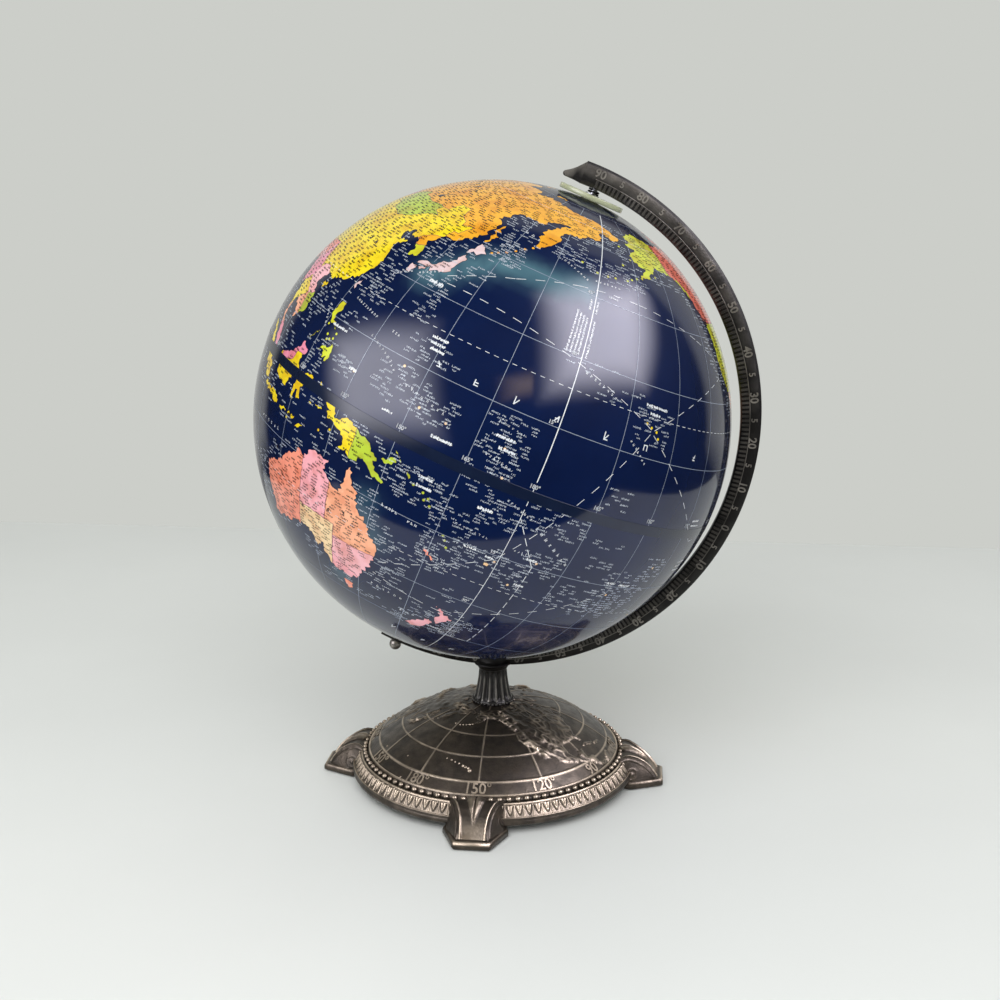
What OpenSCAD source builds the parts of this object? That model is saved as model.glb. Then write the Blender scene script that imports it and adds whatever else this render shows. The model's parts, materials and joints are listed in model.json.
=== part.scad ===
// Desktop globe on a cast stand: a 12 inch ball on a tilted rod, held by a half-circle meridian arm,
// a fluted stem and a domed base with four scroll feet.  The table is z = 0.  The arm lies in the XZ plane.

/* [Ball] */
// Diameter of the ball
ball_d = 304.8; // [300:0.1:308]
// Height of the ball's centre above the table
ball_z = 243.5; // [240:0.5:250]
// Tilt of the spin axis from upright, towards +X
axis_tilt = 23.5; // [20:0.5:26]
// Thickness of the pressed shells
shell_t = 2; // [1.6:0.1:3]
// Width of the tape over the equator seam
tape_w = 7; // [5:0.5:10]
// Width of the ring inside the seam
ring_w = 18; // [12:1:26]

/* [Meridian arm] */
// Gap between the ball and the arm's inner edge
arm_gap = 4.6; // [4:0.1:6]
// Mean depth of the arm, inner edge to outer edge
arm_depth = 12; // [10:0.5:14]
// Thickness of the arm
arm_t = 8; // [7:0.5:10]
// How far the arm's outer edge runs on past the north axis
arm_past_north = 10.2; // [9:0.1:12]
// How far the arm runs on past the south axis
arm_past_south = 11.8; // [9:0.1:14]
// How far the nose at the north end reaches past the axis
nose_reach = 22; // [20:0.5:24]

/* [Axis] */
// Diameter of the axis rod
rod_d = 4; // [3:0.5:4]
// Running clearance round the rod, on the radius
run_gap = 0.07; // [0.02:0.01:0.1]
// Diameter of the time dial
dial_d = 42; // [36:1:44]
// Thickness of the time dial
dial_t = 3.1; // [2.6:0.1:3.3]
// Diameter of the ball nut
nut_d = 8; // [7:0.5:10]
// Diameter of the spring's wire
wire_d = 0.9; // [0.7:0.1:1]

/* [Stem] */
// Radius of the stem at its foot
stem_foot_r = 13.5; // [12.5:0.5:14]
// Radius of the stem at its neck
stem_neck_r = 9.3; // [9:0.1:10]
// Number of flutes
flutes = 20; // [12:1:24]

/* [Base] */
// Radius of the sphere that the dome is part of
dome_r = 126.5; // [122:0.5:130]
// Height of the dome's apex
dome_top = 54; // [52:0.5:56]
// Wall thickness of the casting
base_wall = 4; // [3:0.5:5]
// Radius of the base at its lip
lip_r = 95.7; // [95:0.1:97]
// Distance from the stem to the tip of a foot
foot_reach = 115.7; // [112:0.1:120]
// Width of a foot's scroll where it leaves the dome
foot_w = 33; // [28:1:36]

/* [Hidden] */
$fn = 96;
eps = 0.01;

ball_r = ball_d / 2;
rod_r = rod_d / 2;
bore_r = rod_r + run_gap;

// Arm: two circles slid up the axis, so that the arm is deepest at the north end
arm_inner_r = ball_r + arm_gap;
arm_outer_r = arm_inner_r + arm_depth;
arm_inner_shift = 2.6;
arm_outer_shift = 4.8;
arm_far = 2 * arm_outer_r;
north_past_deg = asin(arm_past_north / arm_outer_r);
south_past_deg = asin(arm_past_south / arm_outer_r);
arm_under_north = arm_inner_r + arm_inner_shift;
arm_under_south = arm_outer_r - arm_outer_shift;
arm_inner_south = arm_inner_r - arm_inner_shift;
ridge_r = (arm_inner_r + arm_outer_r) / 2 + 1;
ridge_w = 0.7;
ridge_h = 0.4;

// The part is centred on its own width: the ball reaches furthest to -X and the arm to +X
arm_reach = arm_outer_r + arm_outer_shift * sin(axis_tilt);
stem_x = (ball_r - arm_reach) / 2;

// Nose: from the outer edge a shallow hollow curve drops to a blunt tip
nose_peak = [-arm_past_north, arm_outer_shift + sqrt(pow(arm_outer_r, 2) - pow(arm_past_north, 2))];
nose_tip_r = 1.8;
nose_tip = [nose_tip_r - nose_reach, arm_under_north + nose_tip_r];
nose_heel = [nose_tip[0], nose_tip[1] + nose_tip_r];
nose_dip = 1;
nose_chord = norm(nose_peak - nose_heel);
nose_hollow_r = (pow(nose_chord / 2, 2) + pow(nose_dip, 2)) / (2 * nose_dip);
nose_dir = (nose_peak - nose_heel) / nose_chord;
nose_hollow = (nose_peak + nose_heel) / 2 + (nose_hollow_r - nose_dip) * [-nose_dir[1], nose_dir[0]];

// Stack of small pieces along the axis, as distances from the ball's centre
dial_low = ball_r + 0.3;
dial_high = dial_low + dial_t;
spring_washer_low = dial_high + 0.15;
spring_washer_t = 0.4;
spring_low = spring_washer_low + spring_washer_t + 0.02;
spring_high = arm_under_north - 0.1;
spring_r = 3.3;
spring_turns = 2.25;
spring_steps = 40;
wire_sides = 8;
rod_top = arm_under_north + 7;
rod_hole_top = rod_top + 0.5;
nut_centre = arm_under_south + nut_d / 2 - 1;
rod_low = nut_centre + 1.5;
bushing_r = 6;
bushing_flange_r = 9;
bushing_flange_t = 1.8;
bushing_seat = sqrt(pow(ball_r - shell_t, 2) - pow(bushing_flange_r, 2)) - 0.05;
south_washer_r = 5.5;
south_washer_t = arm_inner_south - ball_r - 0.4;

// Ball
seam_gap = 0.05;
tape_t = 0.15;
ring_t = 1.6;

// Stem and the boss under the arm
arm_bottom = ball_z - sqrt(pow(arm_outer_r, 2) - pow(arm_outer_shift * sin(axis_tilt), 2))
             + arm_outer_shift * cos(axis_tilt);
boss_r = 10;
boss_top = ball_z - ball_r - 1.6;
boss_flare_r = 3.4;
stem_low = 53.2;
stem_high = arm_bottom - 2.6;
flute_r = 1.15;
stem_hollow = 0.7;

// Bolt through base and stem into the arm's boss
bolt_r = 3;
bolt_hole_r = 3.3;
bolt_tap_r = 3.05;
bolt_top = boss_top - 2.2;
washer_r = 9;
washer_t = 1.2;
lock_r = 5.4;
lock_t = 1.6;
lock_slot = 1;
hex_r = 5.8;
hex_t = 4;
pin_r = 1;
pin_len = 7;
pin_off = 6.3;

// Base
dome_z = dome_top - dome_r;
dome_edge_r = 84;
dome_edge_z = dome_z + sqrt(pow(dome_r, 2) - pow(dome_edge_r, 2));
rim_low = 6;
core_r = 11;
core_low = 34;
rim_step = 86.2;
bead_shelf = [rim_step, 19.2];
leaf_top = [89.7, 18.4];
leaf_foot = [lip_r - 1.3, 11.2];
lip_tube_r = 2.6;
foot_pad_t = 1.4;
foot_pad_r = 8;
foot_pad_at = 102;
pad_recess = 0.4;
plate_low = foot_pad_t - pad_recess;
plate_high = 6;
plate_back = 86;
plate_wide_at = 95;
plate_half = 20.5;
plate_tip_half = 11;
foot_tip_w = 16;
volute_r = 6.5;
volute_at = [97, 10.5];
volute_proud = 0.6;

// Places its children in the axis frame: the ball's centre is the origin and +Z is north
module on_axis() {
  translate([stem_x, 0, ball_z])
    rotate([0, axis_tilt, 0])
      children();
}

// Places its children on the upright line through the stem
module on_stem() {
  translate([stem_x, 0, 0])
    children();
}

// A straight hole or peg along the axis from a to b
module rod_span(r, a, b) {
  translate([0, 0, a])
    cylinder(r = r, h = b - a);
}

// One side of the base is open between two half-planes through the ball's centre
module open_side() {
  polygon([
    [0, 0],
    arm_far * [-sin(north_past_deg), cos(north_past_deg)],
    arm_far * [-1, 1],
    arm_far * [-1, -1],
    arm_far * [-sin(south_past_deg), -cos(south_past_deg)]
  ]);
}

// Half ring of the arm, from the inner edge out
module arm_ring() {
  difference() {
    translate([0, arm_outer_shift])
      circle(r = arm_outer_r, $fn = 360);
    translate([0, arm_inner_shift])
      circle(r = arm_inner_r, $fn = 360);
    open_side();
  }
}

module arm_nose() {
  difference() {
    union() {
      polygon([
        [1, arm_under_north], [1, nose_peak[1] - 1], nose_peak, nose_heel,
        [nose_tip[0], arm_under_north]
      ]);
      translate(nose_tip)
        circle(r = nose_tip_r);
    }
    translate(nose_hollow)
      circle(r = nose_hollow_r, $fn = 180);
  }
}

// Thin raised line that divides the scale from the numbers, on both faces
module arm_ridges() {
  linear_extrude(height = arm_t + 2 * ridge_h, center = true)
    difference() {
      translate([0, arm_inner_shift])
        circle(r = ridge_r, $fn = 360);
      translate([0, arm_inner_shift])
        circle(r = ridge_r - ridge_w, $fn = 360);
      open_side();
    }
}

// Round boss that meets the stem, with a hollow flare under the arm
module arm_boss() {
  translate([0, 0, stem_high])
    rotate_extrude()
      difference() {
        square([boss_r + boss_flare_r, boss_top - stem_high]);
        translate([boss_r + boss_flare_r, 0])
          circle(r = boss_flare_r);
        translate([boss_r, boss_flare_r])
          square([2 * boss_flare_r, boss_top]);
      }
}

module meridian_arm() {
  color("#4a4845")
    difference() {
      union() {
        on_axis()
          rotate([90, 0, 0]) {
            linear_extrude(height = arm_t, center = true) {
              arm_ring();
              arm_nose();
            }
            arm_ridges();
          }
        on_stem()
          arm_boss();
      }
      on_axis() {
        rod_span(rod_r + 0.05, arm_under_north - 2, rod_hole_top);
        rod_span(rod_r + 0.05, -arm_under_south - 2, -arm_inner_south + 2);
      }
      on_stem() {
        rod_span(bolt_tap_r, stem_high - 1, bolt_top + 0.4);
        translate([pin_off, 0, 0])
          rod_span(pin_r + 0.02, stem_high - 1, stem_high + pin_len / 2 + 0.2);
      }
    }
}

// Side of the stem: a shallow hollow curve from foot to neck
module stem_profile() {
  chord = norm([stem_foot_r - stem_neck_r, stem_high - stem_low]);
  hollow_r = (pow(chord / 2, 2) + pow(stem_hollow, 2)) / (2 * stem_hollow);
  dir = [stem_neck_r - stem_foot_r, stem_high - stem_low] / chord;
  mid = [(stem_foot_r + stem_neck_r) / 2, (stem_low + stem_high) / 2];
  difference() {
    polygon([[0, stem_low], [stem_foot_r, stem_low], [stem_neck_r, stem_high], [0, stem_high]]);
    translate(mid + (hollow_r - stem_hollow) * [dir[1], -dir[0]])
      circle(r = hollow_r, $fn = 360);
  }
}

module stem_column() {
  lean = atan((stem_foot_r - stem_neck_r) / (stem_high - stem_low));
  color("#3f3e3d")
    on_stem()
      difference() {
        rotate_extrude()
          stem_profile();
        for (i = [0 : flutes - 1])
          rotate([0, 0, (i + 0.5) * 360 / flutes])
            translate([stem_foot_r + 0.2, 0, stem_low - 1])
              rotate([0, -lean, 0])
                cylinder(r = flute_r, h = stem_high - stem_low - 1, $fn = 24);
        rod_span(bolt_hole_r, stem_low - 1, stem_high + 1);
        for (z = [stem_low, stem_high])
          translate([pin_off, 0, 0])
            rod_span(pin_r + 0.02, z - pin_len / 2 - 0.2, z + pin_len / 2 + 0.2);
      }
}

// Two plain pins: one keeps the stem from turning on the base, one keeps the arm from turning on it
module locating_pins() {
  color("#8a8a8a")
    on_stem()
      translate([pin_off, 0, 0])
        for (z = [stem_low, stem_high])
          rod_span(pin_r, z - pin_len / 2, z + pin_len / 2);
}

module stem_bolt() {
  head_high = core_low - washer_t - lock_t;
  color("#8d9094")
    on_stem()
      union() {
        rod_span(bolt_r, head_high - 1, bolt_top);
        translate([0, 0, head_high - hex_t])
          cylinder(r = hex_r, h = hex_t, $fn = 6);
      }
}

module bolt_washer() {
  color("#a0a3a6")
    on_stem()
      difference() {
        rod_span(washer_r, core_low - washer_t, core_low);
        rod_span(bolt_hole_r, core_low - washer_t - 1, core_low + 1);
      }
}

// Split spring washer
module lock_washer() {
  high = core_low - washer_t;
  color("#76797c")
    on_stem()
      difference() {
        rod_span(lock_r, high - lock_t, high);
        rod_span(bolt_hole_r, high - lock_t - 1, high + 1);
        translate([lock_r / 2, 0, high])
          rotate([30, 0, 0])
            cube([lock_r + 1, lock_slot, 4 * lock_t], center = true);
      }
}

// Outer form of dome and rim, turned about the stem
module base_outer() {
  intersection() {
    translate([0, 0, dome_z])
      sphere(r = dome_r, $fn = 180);
    rod_span(dome_edge_r, dome_edge_z - 6, stem_low);
  }
  rotate_extrude($fn = 180) {
    polygon([
      [dome_edge_r - 12, rim_low], [dome_edge_r - 12, dome_edge_z - 1], [dome_edge_r, dome_edge_z],
      [dome_edge_r + 1, dome_edge_z - 1.6], bead_shelf, leaf_top, leaf_foot,
      [lip_r - 1.2, rim_low], [dome_edge_r, rim_low]
    ]);
    translate([lip_r - lip_tube_r, rim_low + lip_tube_r])
      circle(r = lip_tube_r);
  }
}

// Hollow under the dome, less the core round the bolt
module base_hollow() {
  difference() {
    union() {
      intersection() {
        translate([0, 0, dome_z])
          sphere(r = dome_r - base_wall, $fn = 180);
        rod_span(dome_edge_r - 1, 0, dome_top);
      }
      rod_span(lip_r - 8, -1, rim_low + 9);
    }
    rod_span(core_r, core_low, dome_top);
  }
}

// Side view of a foot's scroll, r across and z up
module scroll_side() {
  polygon([
    [80, plate_low], [80, 22.8], [88, 22.8], [93, 22], [98, 19.8], [103, 16.6], [107.5, 12.6],
    [110.5, 8.8], [112, plate_high], [112, plate_low]
  ]);
}

module foot() {
  intersection() {
    rotate([90, 0, 0])
      linear_extrude(height = foot_w + 2, center = true)
        scroll_side();
    linear_extrude(height = 40)
      polygon([
        [78, foot_w / 2], [96, foot_w / 2 - 1], [foot_reach, foot_tip_w / 2],
        [foot_reach, -foot_tip_w / 2], [96, 1 - foot_w / 2], [78, -foot_w / 2]
      ]);
  }
  translate([0, 0, plate_low])
    linear_extrude(height = plate_high - plate_low)
      polygon([
        [plate_back, plate_half - 1.5], [plate_wide_at, plate_half], [foot_reach - 2, plate_tip_half + 1.2],
        [foot_reach, plate_tip_half], [foot_reach, -plate_tip_half],
        [foot_reach - 2, -plate_tip_half - 1.2], [plate_wide_at, -plate_half], [plate_back, 1.5 - plate_half]
      ]);
  translate([volute_at[0], 0, volute_at[1]])
    rotate([90, 0, 0])
      cylinder(r = volute_r, h = foot_w + 2 * volute_proud, center = true);
}

module base_casting() {
  color("#5d554b")
    on_stem()
      difference() {
        union() {
          difference() {
            union() {
              base_outer();
              for (a = [0 : 90 : 270])
                rotate([0, 0, a])
                  foot();
            }
            base_hollow();
          }
        }
        rod_span(bolt_hole_r, core_low - 1, stem_low + 1);
        translate([pin_off, 0, 0])
          rod_span(pin_r + 0.02, stem_low - pin_len / 2 - 0.2, stem_low + 1);
        for (a = [0 : 90 : 270])
          rotate([0, 0, a])
            translate([foot_pad_at, 0, 0])
              rod_span(foot_pad_r, plate_low - 1, plate_low + pad_recess);
      }
}

// Four round felt pads, let into the feet
module foot_pads() {
  color("#2b2a28")
    on_stem()
      for (a = [0 : 90 : 270])
        rotate([0, 0, a])
          translate([foot_pad_at, 0, 0])
            rod_span(foot_pad_r - 0.1, 0, foot_pad_t);
}

module axis_rod() {
  color("#b9bcc0")
    on_axis()
      rod_span(rod_r, -rod_low, rod_top);
}

// Ring of points round the spring's wire at step i
function spring_ring(i) =
  let (a = 360 * spring_turns * i / spring_steps,
       z = spring_low + wire_d / 2 + (spring_high - spring_low - wire_d) * i / spring_steps)
  [for (k = [0 : wire_sides - 1])
    let (b = 360 * k / wire_sides, r = spring_r + wire_d / 2 * cos(b))
    [r * cos(a), r * sin(a), z + wire_d / 2 * sin(b)]];

// Short coil that holds the dial down
module axis_spring() {
  points = [for (i = [0 : spring_steps]) each spring_ring(i)];
  last = spring_steps * wire_sides;
  color("#1f1f21")
    on_axis()
      polyhedron(
        points = points,
        faces = [
          [for (k = [0 : wire_sides - 1]) k],
          [for (k = [wire_sides - 1 : -1 : 0]) last + k],
          for (i = [0 : spring_steps - 1], k = [0 : wire_sides - 1])
            let (n = (k + 1) % wire_sides, a = i * wire_sides, b = a + wire_sides)
            [a + k, b + k, b + n, a + n]
        ]);
}

module spring_washer() {
  color("#c9ccd0")
    on_axis()
      difference() {
        rod_span(4.6, spring_washer_low, spring_washer_low + spring_washer_t);
        rod_span(rod_r + 0.05, dial_low, arm_under_north);
      }
}

// Thin spacer that keeps the ball off the arm at the south end
module south_washer() {
  color("#d8d5cc")
    on_axis()
      difference() {
        rod_span(south_washer_r, -ball_r - 0.2 - south_washer_t, -ball_r - 0.2);
        rod_span(rod_r + 0.05, -arm_inner_south - 1, -ball_r + 1);
      }
}

module ball_nut() {
  color("#a9a79f")
    on_axis()
      difference() {
        translate([0, 0, -nut_centre])
          sphere(r = nut_d / 2, $fn = 48);
        rod_span(nut_d, -arm_under_south - 0.02, -arm_under_south + nut_d);
        rod_span(rod_r + 0.05, -rod_low - 0.3, -arm_under_south + 1);
      }
}

// Half shell with a hole for its bushing at the pole
module half_shell() {
  difference() {
    sphere(r = ball_r, $fn = 180);
    sphere(r = ball_r - shell_t, $fn = 180);
    translate([0, 0, seam_gap / 2 - ball_d])
      cube(2 * ball_d, center = true);
    rod_span(bushing_r, ball_r - shell_t - 5, ball_r + 5);
  }
}

module north_hemisphere() {
  color("#0d1538")
    on_axis()
      half_shell();
}

module south_hemisphere() {
  color("#0d1538")
    on_axis()
      mirror([0, 0, 1])
        half_shell();
}

module equator_tape() {
  color("#2c3f3c")
    on_axis()
      intersection() {
        difference() {
          sphere(r = ball_r + tape_t, $fn = 180);
          sphere(r = ball_r, $fn = 180);
        }
        rod_span(ball_r + 1, -tape_w / 2, tape_w / 2);
      }
}

module joint_ring() {
  color("#b08d5e")
    on_axis()
      intersection() {
        difference() {
          sphere(r = ball_r - shell_t, $fn = 180);
          sphere(r = ball_r - shell_t - ring_t, $fn = 180);
        }
        rod_span(ball_r, -ring_w / 2, ring_w / 2);
      }
}

// Flanged bushing: the flange is inside the shell and the sleeve fills the pole hole
module pole_bushing() {
  difference() {
    union() {
      rod_span(bushing_flange_r, bushing_seat - bushing_flange_t, bushing_seat);
      rod_span(bushing_r, bushing_seat - bushing_flange_t, ball_r);
    }
    rod_span(bore_r, bushing_seat - bushing_flange_t - 1, ball_r + 1);
  }
}

module north_bushing() {
  color("#d9d6cf")
    on_axis()
      pole_bushing();
}

module south_bushing() {
  color("#d9d6cf")
    on_axis()
      mirror([0, 0, 1])
        pole_bushing();
}

module time_dial() {
  color("#b9bd7c", 0.6)
    on_axis()
      difference() {
        rod_span(dial_d / 2, dial_low, dial_high);
        rod_span(bore_r, dial_low - 1, dial_high + 1);
      }
}

base_casting();
foot_pads();
stem_column();
stem_bolt();
bolt_washer();
lock_washer();
locating_pins();
meridian_arm();
axis_rod();
axis_spring();
spring_washer();
south_washer();
ball_nut();
north_hemisphere();
south_hemisphere();
equator_tape();
joint_ring();
north_bushing();
south_bushing();
time_dial();
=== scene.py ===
import json
import math
import random

import bpy
import numpy as np
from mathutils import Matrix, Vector
from mathutils.geometry import delaunay_2d_cdt


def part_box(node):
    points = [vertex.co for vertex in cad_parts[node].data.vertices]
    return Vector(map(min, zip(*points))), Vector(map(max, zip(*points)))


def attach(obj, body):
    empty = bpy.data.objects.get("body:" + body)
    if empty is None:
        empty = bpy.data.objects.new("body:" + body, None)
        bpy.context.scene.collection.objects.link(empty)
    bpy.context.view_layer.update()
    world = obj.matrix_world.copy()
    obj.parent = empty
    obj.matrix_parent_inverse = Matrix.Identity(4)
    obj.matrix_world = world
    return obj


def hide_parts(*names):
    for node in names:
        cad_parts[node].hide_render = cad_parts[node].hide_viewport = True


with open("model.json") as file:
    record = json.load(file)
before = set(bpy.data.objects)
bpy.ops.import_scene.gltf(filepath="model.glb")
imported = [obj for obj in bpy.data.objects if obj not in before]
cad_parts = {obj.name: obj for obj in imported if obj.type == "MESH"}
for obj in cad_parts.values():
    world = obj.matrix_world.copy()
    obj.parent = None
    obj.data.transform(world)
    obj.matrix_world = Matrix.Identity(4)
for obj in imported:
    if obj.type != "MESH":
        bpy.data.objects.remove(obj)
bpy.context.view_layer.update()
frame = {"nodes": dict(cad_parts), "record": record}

MM = 0.001

# ---------------------------------------------------------------- places taken from the frame

SPIN = next(j for j in frame["record"]["behaviour"]["joints"] if j["name"] == "globe_spin")
CENTRE = np.array(SPIN["pos_m"])
AXIS = np.array(SPIN["axis"]) / np.linalg.norm(SPIN["axis"])
ACROSS = np.array([0.0, 1.0, 0.0])
OUTWARD = np.cross(ACROSS, AXIS)
STEM_X = CENTRE[0]
BALL_LOW, BALL_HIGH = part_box("north_hemisphere")
BALL_R = (BALL_HIGH[1] - BALL_LOW[1]) / 2


def in_axis_frame(u, v, w):
    """Points from the ball's centre: u out from the axis to the arm, v along the axis, w across the arm."""
    u, v, w = np.broadcast_arrays(u, v, w)
    return CENTRE + u[..., None] * OUTWARD + v[..., None] * AXIS + w[..., None] * ACROSS


# Longitude that lies under the meridian arm at rest
ARM_LON = -105.66


def on_ball(lon, lat, lift=0.0):
    """Points on the ball at longitude and latitude in degrees, lifted off the skin by so many metres."""
    lon, lat, lift = np.broadcast_arrays(np.asarray(lon, float), np.asarray(lat, float), lift)
    a, b = np.radians(lon - ARM_LON), np.radians(lat)
    r = BALL_R + lift
    return in_axis_frame(r * np.cos(b) * np.cos(a), r * np.sin(b), r * np.cos(b) * np.sin(a))


# ---------------------------------------------------------------- mesh helpers

def new_object(name, verts, faces, materials, ids=None, smooth=True, wear=None, body=None, replaces=(),
               slot=None):
    """Makes a mesh object, gives it materials and hangs it on a CAD body."""
    mesh = bpy.data.meshes.new(name)
    mesh.from_pydata(np.asarray(verts).tolist(), [], [tuple(f) for f in faces])
    for m in materials if isinstance(materials, (list, tuple)) else [materials]:
        mesh.materials.append(m)
    if ids is not None:
        mesh.polygons.foreach_set("material_index", np.asarray(ids, dtype=np.int32))
    mesh.polygons.foreach_set("use_smooth", np.full(len(mesh.polygons), smooth))
    # The per-point value holds rubbed wear, and on some metal parts painted highlight, sheen and shade
    if wear is not None:
        layer = mesh.attributes.new("wear", "FLOAT", "POINT")
        layer.data.foreach_set("value", np.asarray(wear, dtype=np.float32))
    mesh.update()
    piece = bpy.data.objects.new(name, mesh)
    bpy.context.scene.collection.objects.link(piece)
    if body:
        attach(piece, body)
    if replaces:
        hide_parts(*replaces)
    return piece


class Soup:
    """Collects the vertices and faces of many small forms into one mesh."""

    def __init__(self):
        self.verts, self.faces, self.wear, self.count = [], [], [], 0

    def add(self, verts, faces, wear=0.5):
        verts = np.asarray(verts, float).reshape(-1, 3)
        self.verts.append(verts)
        self.faces.extend([tuple(i + self.count for i in f) for f in faces])
        self.wear.append(np.broadcast_to(wear, len(verts)))
        self.count += len(verts)

    def grid(self, points, wear=0.5, wrap_rows=False, wrap_cols=False, flip=False):
        """Adds a rectangular net of points, rows by columns."""
        rows, cols = points.shape[:2]
        self.add(points.reshape(-1, 3), grid_faces(rows, cols, wrap_rows, wrap_cols, flip),
                 np.broadcast_to(wear, (rows, cols)).reshape(-1))

    def make(self, name, materials, **options):
        return new_object(name, np.concatenate(self.verts), self.faces, materials,
                          wear=np.concatenate(self.wear), **options)


def grid_faces(rows, cols, wrap_rows=False, wrap_cols=False, flip=False):
    """Quads of a net of points whose rows or columns may close on themselves."""
    faces = []
    for i in range(rows if wrap_rows else rows - 1):
        for j in range(cols if wrap_cols else cols - 1):
            a, b = i * cols + j, i * cols + (j + 1) % cols
            c, d = (i + 1) % rows * cols + (j + 1) % cols, (i + 1) % rows * cols + j
            faces.append((a, d, c, b) if flip else (a, b, c, d))
    return faces


def circle(steps):
    """Equal steps round a full turn, in radians."""
    return np.linspace(0, 2 * math.pi, steps, endpoint=False)


def arc(centre, radius, start, stop, steps):
    """Points along an arc; angles in degrees."""
    t = np.radians(np.linspace(start, stop, steps))
    return [(centre[0] + radius * math.cos(a), centre[1] + radius * math.sin(a)) for a in t]


def axis_ring(profile, steps=96):
    """Net of points made by turning an (r, v) profile, in mm, about the ball's axis."""
    turn = circle(steps)
    r, v = np.array(profile).T * MM
    return in_axis_frame(np.outer(r, np.cos(turn)), np.repeat(v[:, None], steps, axis=1),
                         np.outer(r, np.sin(turn)))


# Height of a figure of the built-in font at size 1
CAP_HEIGHT = 0.69
figures_made = {}


def number_mesh(text, height, depth, bold=0.0):
    """Flat-faced raised figures: vertices (x, y, z) centred on x and standing on y = 0, and their faces."""
    key = (text, height, depth, bold)
    if key not in figures_made:
        curve = bpy.data.curves.new("figures", "FONT")
        curve.body, curve.align_x, curve.size = text, "CENTER", 1.0
        curve.extrude, curve.resolution_u, curve.offset = 0.5, 4, bold
        holder = bpy.data.objects.new("figures", curve)
        bpy.context.scene.collection.objects.link(holder)
        bpy.context.view_layer.update()
        mesh = bpy.data.meshes.new_from_object(holder)
        points = np.array([v.co[:] for v in mesh.vertices])
        faces = [tuple(p.vertices) for p in mesh.polygons]
        bpy.data.objects.remove(holder)
        bpy.data.curves.remove(curve)
        bpy.data.meshes.remove(mesh)
        scale = height / CAP_HEIGHT
        points = points * [scale, scale, depth]
        points[:, 2] += depth / 2
        figures_made[key] = points, faces
    return figures_made[key]


# ---------------------------------------------------------------- materials

def linear(rgb):
    """A screen colour, 0 to 255, as the renderer's linear colour."""
    parts = [c / 255 for c in rgb]
    return tuple(c / 12.92 if c <= 0.04045 else ((c + 0.055) / 1.055) ** 2.4 for c in parts) + (1.0,)


# How deep the bumps of a rough surface are, in metres
BUMP_DEPTH = 0.0003


def finish_of(name, first, second, scale=60.0, metal=0.0, rough=0.4, rough_by=0.0, coat=0.0,
              coat_rough=0.05, bump=0.0, bump_scale=900.0, worn_and_lit=None, clear=0.0, spread=(0.35, 0.65),
              tint=None, ior=1.45, shine=0.5):
    """Two colours mixed by noise; the worn and lit colour, in patches, or tint comes through where the
    mesh's per-point value is high: rubbed wear, and on some metal parts painted highlight, sheen and shade.
    """
    mat = bpy.data.materials.new(name)
    mat.use_nodes = True
    nodes, links = mat.node_tree.nodes, mat.node_tree.links
    shader = nodes["Principled BSDF"]
    place = nodes.new("ShaderNodeTexCoord")

    def noise(size, detail=4.0):
        made = nodes.new("ShaderNodeTexNoise")
        made.inputs["Scale"].default_value = size
        made.inputs["Detail"].default_value = detail
        links.new(place.outputs["Object"], made.inputs["Vector"])
        return made

    def remap(source, low, high, to_low=0.0, to_high=1.0):
        made = nodes.new("ShaderNodeMapRange")
        for socket, value in zip(("From Min", "From Max", "To Min", "To Max"),
                                 (low, high, to_low, to_high)):
            made.inputs[socket].default_value = value
        links.new(source, made.inputs["Value"])
        return made.outputs["Result"]

    def mixed(factor, a, b):
        made = nodes.new("ShaderNodeMix")
        made.data_type = "RGBA"
        links.new(factor, made.inputs["Factor"])
        for socket, value in (("A", a), ("B", b)):
            target = next(s for s in made.inputs if s.name == socket and s.type == "RGBA")
            if isinstance(value, tuple):
                target.default_value = value
            else:
                links.new(value, target)
        return next(s for s in made.outputs if s.type == "RGBA")

    grain = noise(scale)
    colour = mixed(remap(grain.outputs["Fac"], *spread), linear(first), linear(second))
    if worn_and_lit or tint:
        touch = nodes.new("ShaderNodeAttribute")
        touch.attribute_name = "wear"
    if worn_and_lit:
        patch = noise(scale * 0.7)
        joined = nodes.new("ShaderNodeMath")
        joined.operation = "MULTIPLY"
        links.new(touch.outputs["Fac"], joined.inputs[0])
        links.new(remap(patch.outputs["Fac"], 0.25, 0.75, 0.55, 1.35), joined.inputs[1])
        colour = mixed(remap(joined.outputs["Value"], 0.15, 1.0), colour, linear(worn_and_lit))
    if tint:
        colour = mixed(remap(touch.outputs["Fac"], 0.0, 1.0), colour, linear(tint))
    links.new(colour, shader.inputs["Base Color"])
    shader.inputs["Metallic"].default_value = metal
    shader.inputs["IOR"].default_value = ior
    shader.inputs["Specular IOR Level"].default_value = shine
    if rough_by:
        links.new(remap(grain.outputs["Fac"], 0.3, 0.7, rough - rough_by, rough + rough_by),
                  shader.inputs["Roughness"])
    else:
        shader.inputs["Roughness"].default_value = rough
    shader.inputs["Coat Weight"].default_value = coat
    shader.inputs["Coat Roughness"].default_value = coat_rough
    shader.inputs["Transmission Weight"].default_value = clear
    if bump:
        pits = noise(bump_scale, 3.0)
        raised = nodes.new("ShaderNodeBump")
        raised.inputs["Strength"].default_value = bump
        raised.inputs["Distance"].default_value = BUMP_DEPTH
        links.new(pits.outputs["Fac"], raised.inputs["Height"])
        links.new(raised.outputs["Normal"], shader.inputs["Normal"])
    return mat


# Map colours by letter
PAINT = {
    "w": (236, 236, 226), "o": (246, 180, 46), "y": (246, 222, 34), "g": (186, 208, 62),
         "l": (214, 222, 52),
    "r": (246, 130, 112), "p": (240, 148, 176), "k": (252, 178, 190), "s": (254, 158, 134),
         "q": (254, 180, 142),
    "n": (252, 188, 198), "c": (252, 220, 172), "h": (230, 206, 212),
}
GLOSS = dict(rough=0.6, coat=0.92, coat_rough=0.09, shine=0.05)
OCEAN = finish_of("ocean_print", (0, 18, 58), (1, 22, 65), scale=25, tint=(98, 142, 154), **GLOSS)
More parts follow.
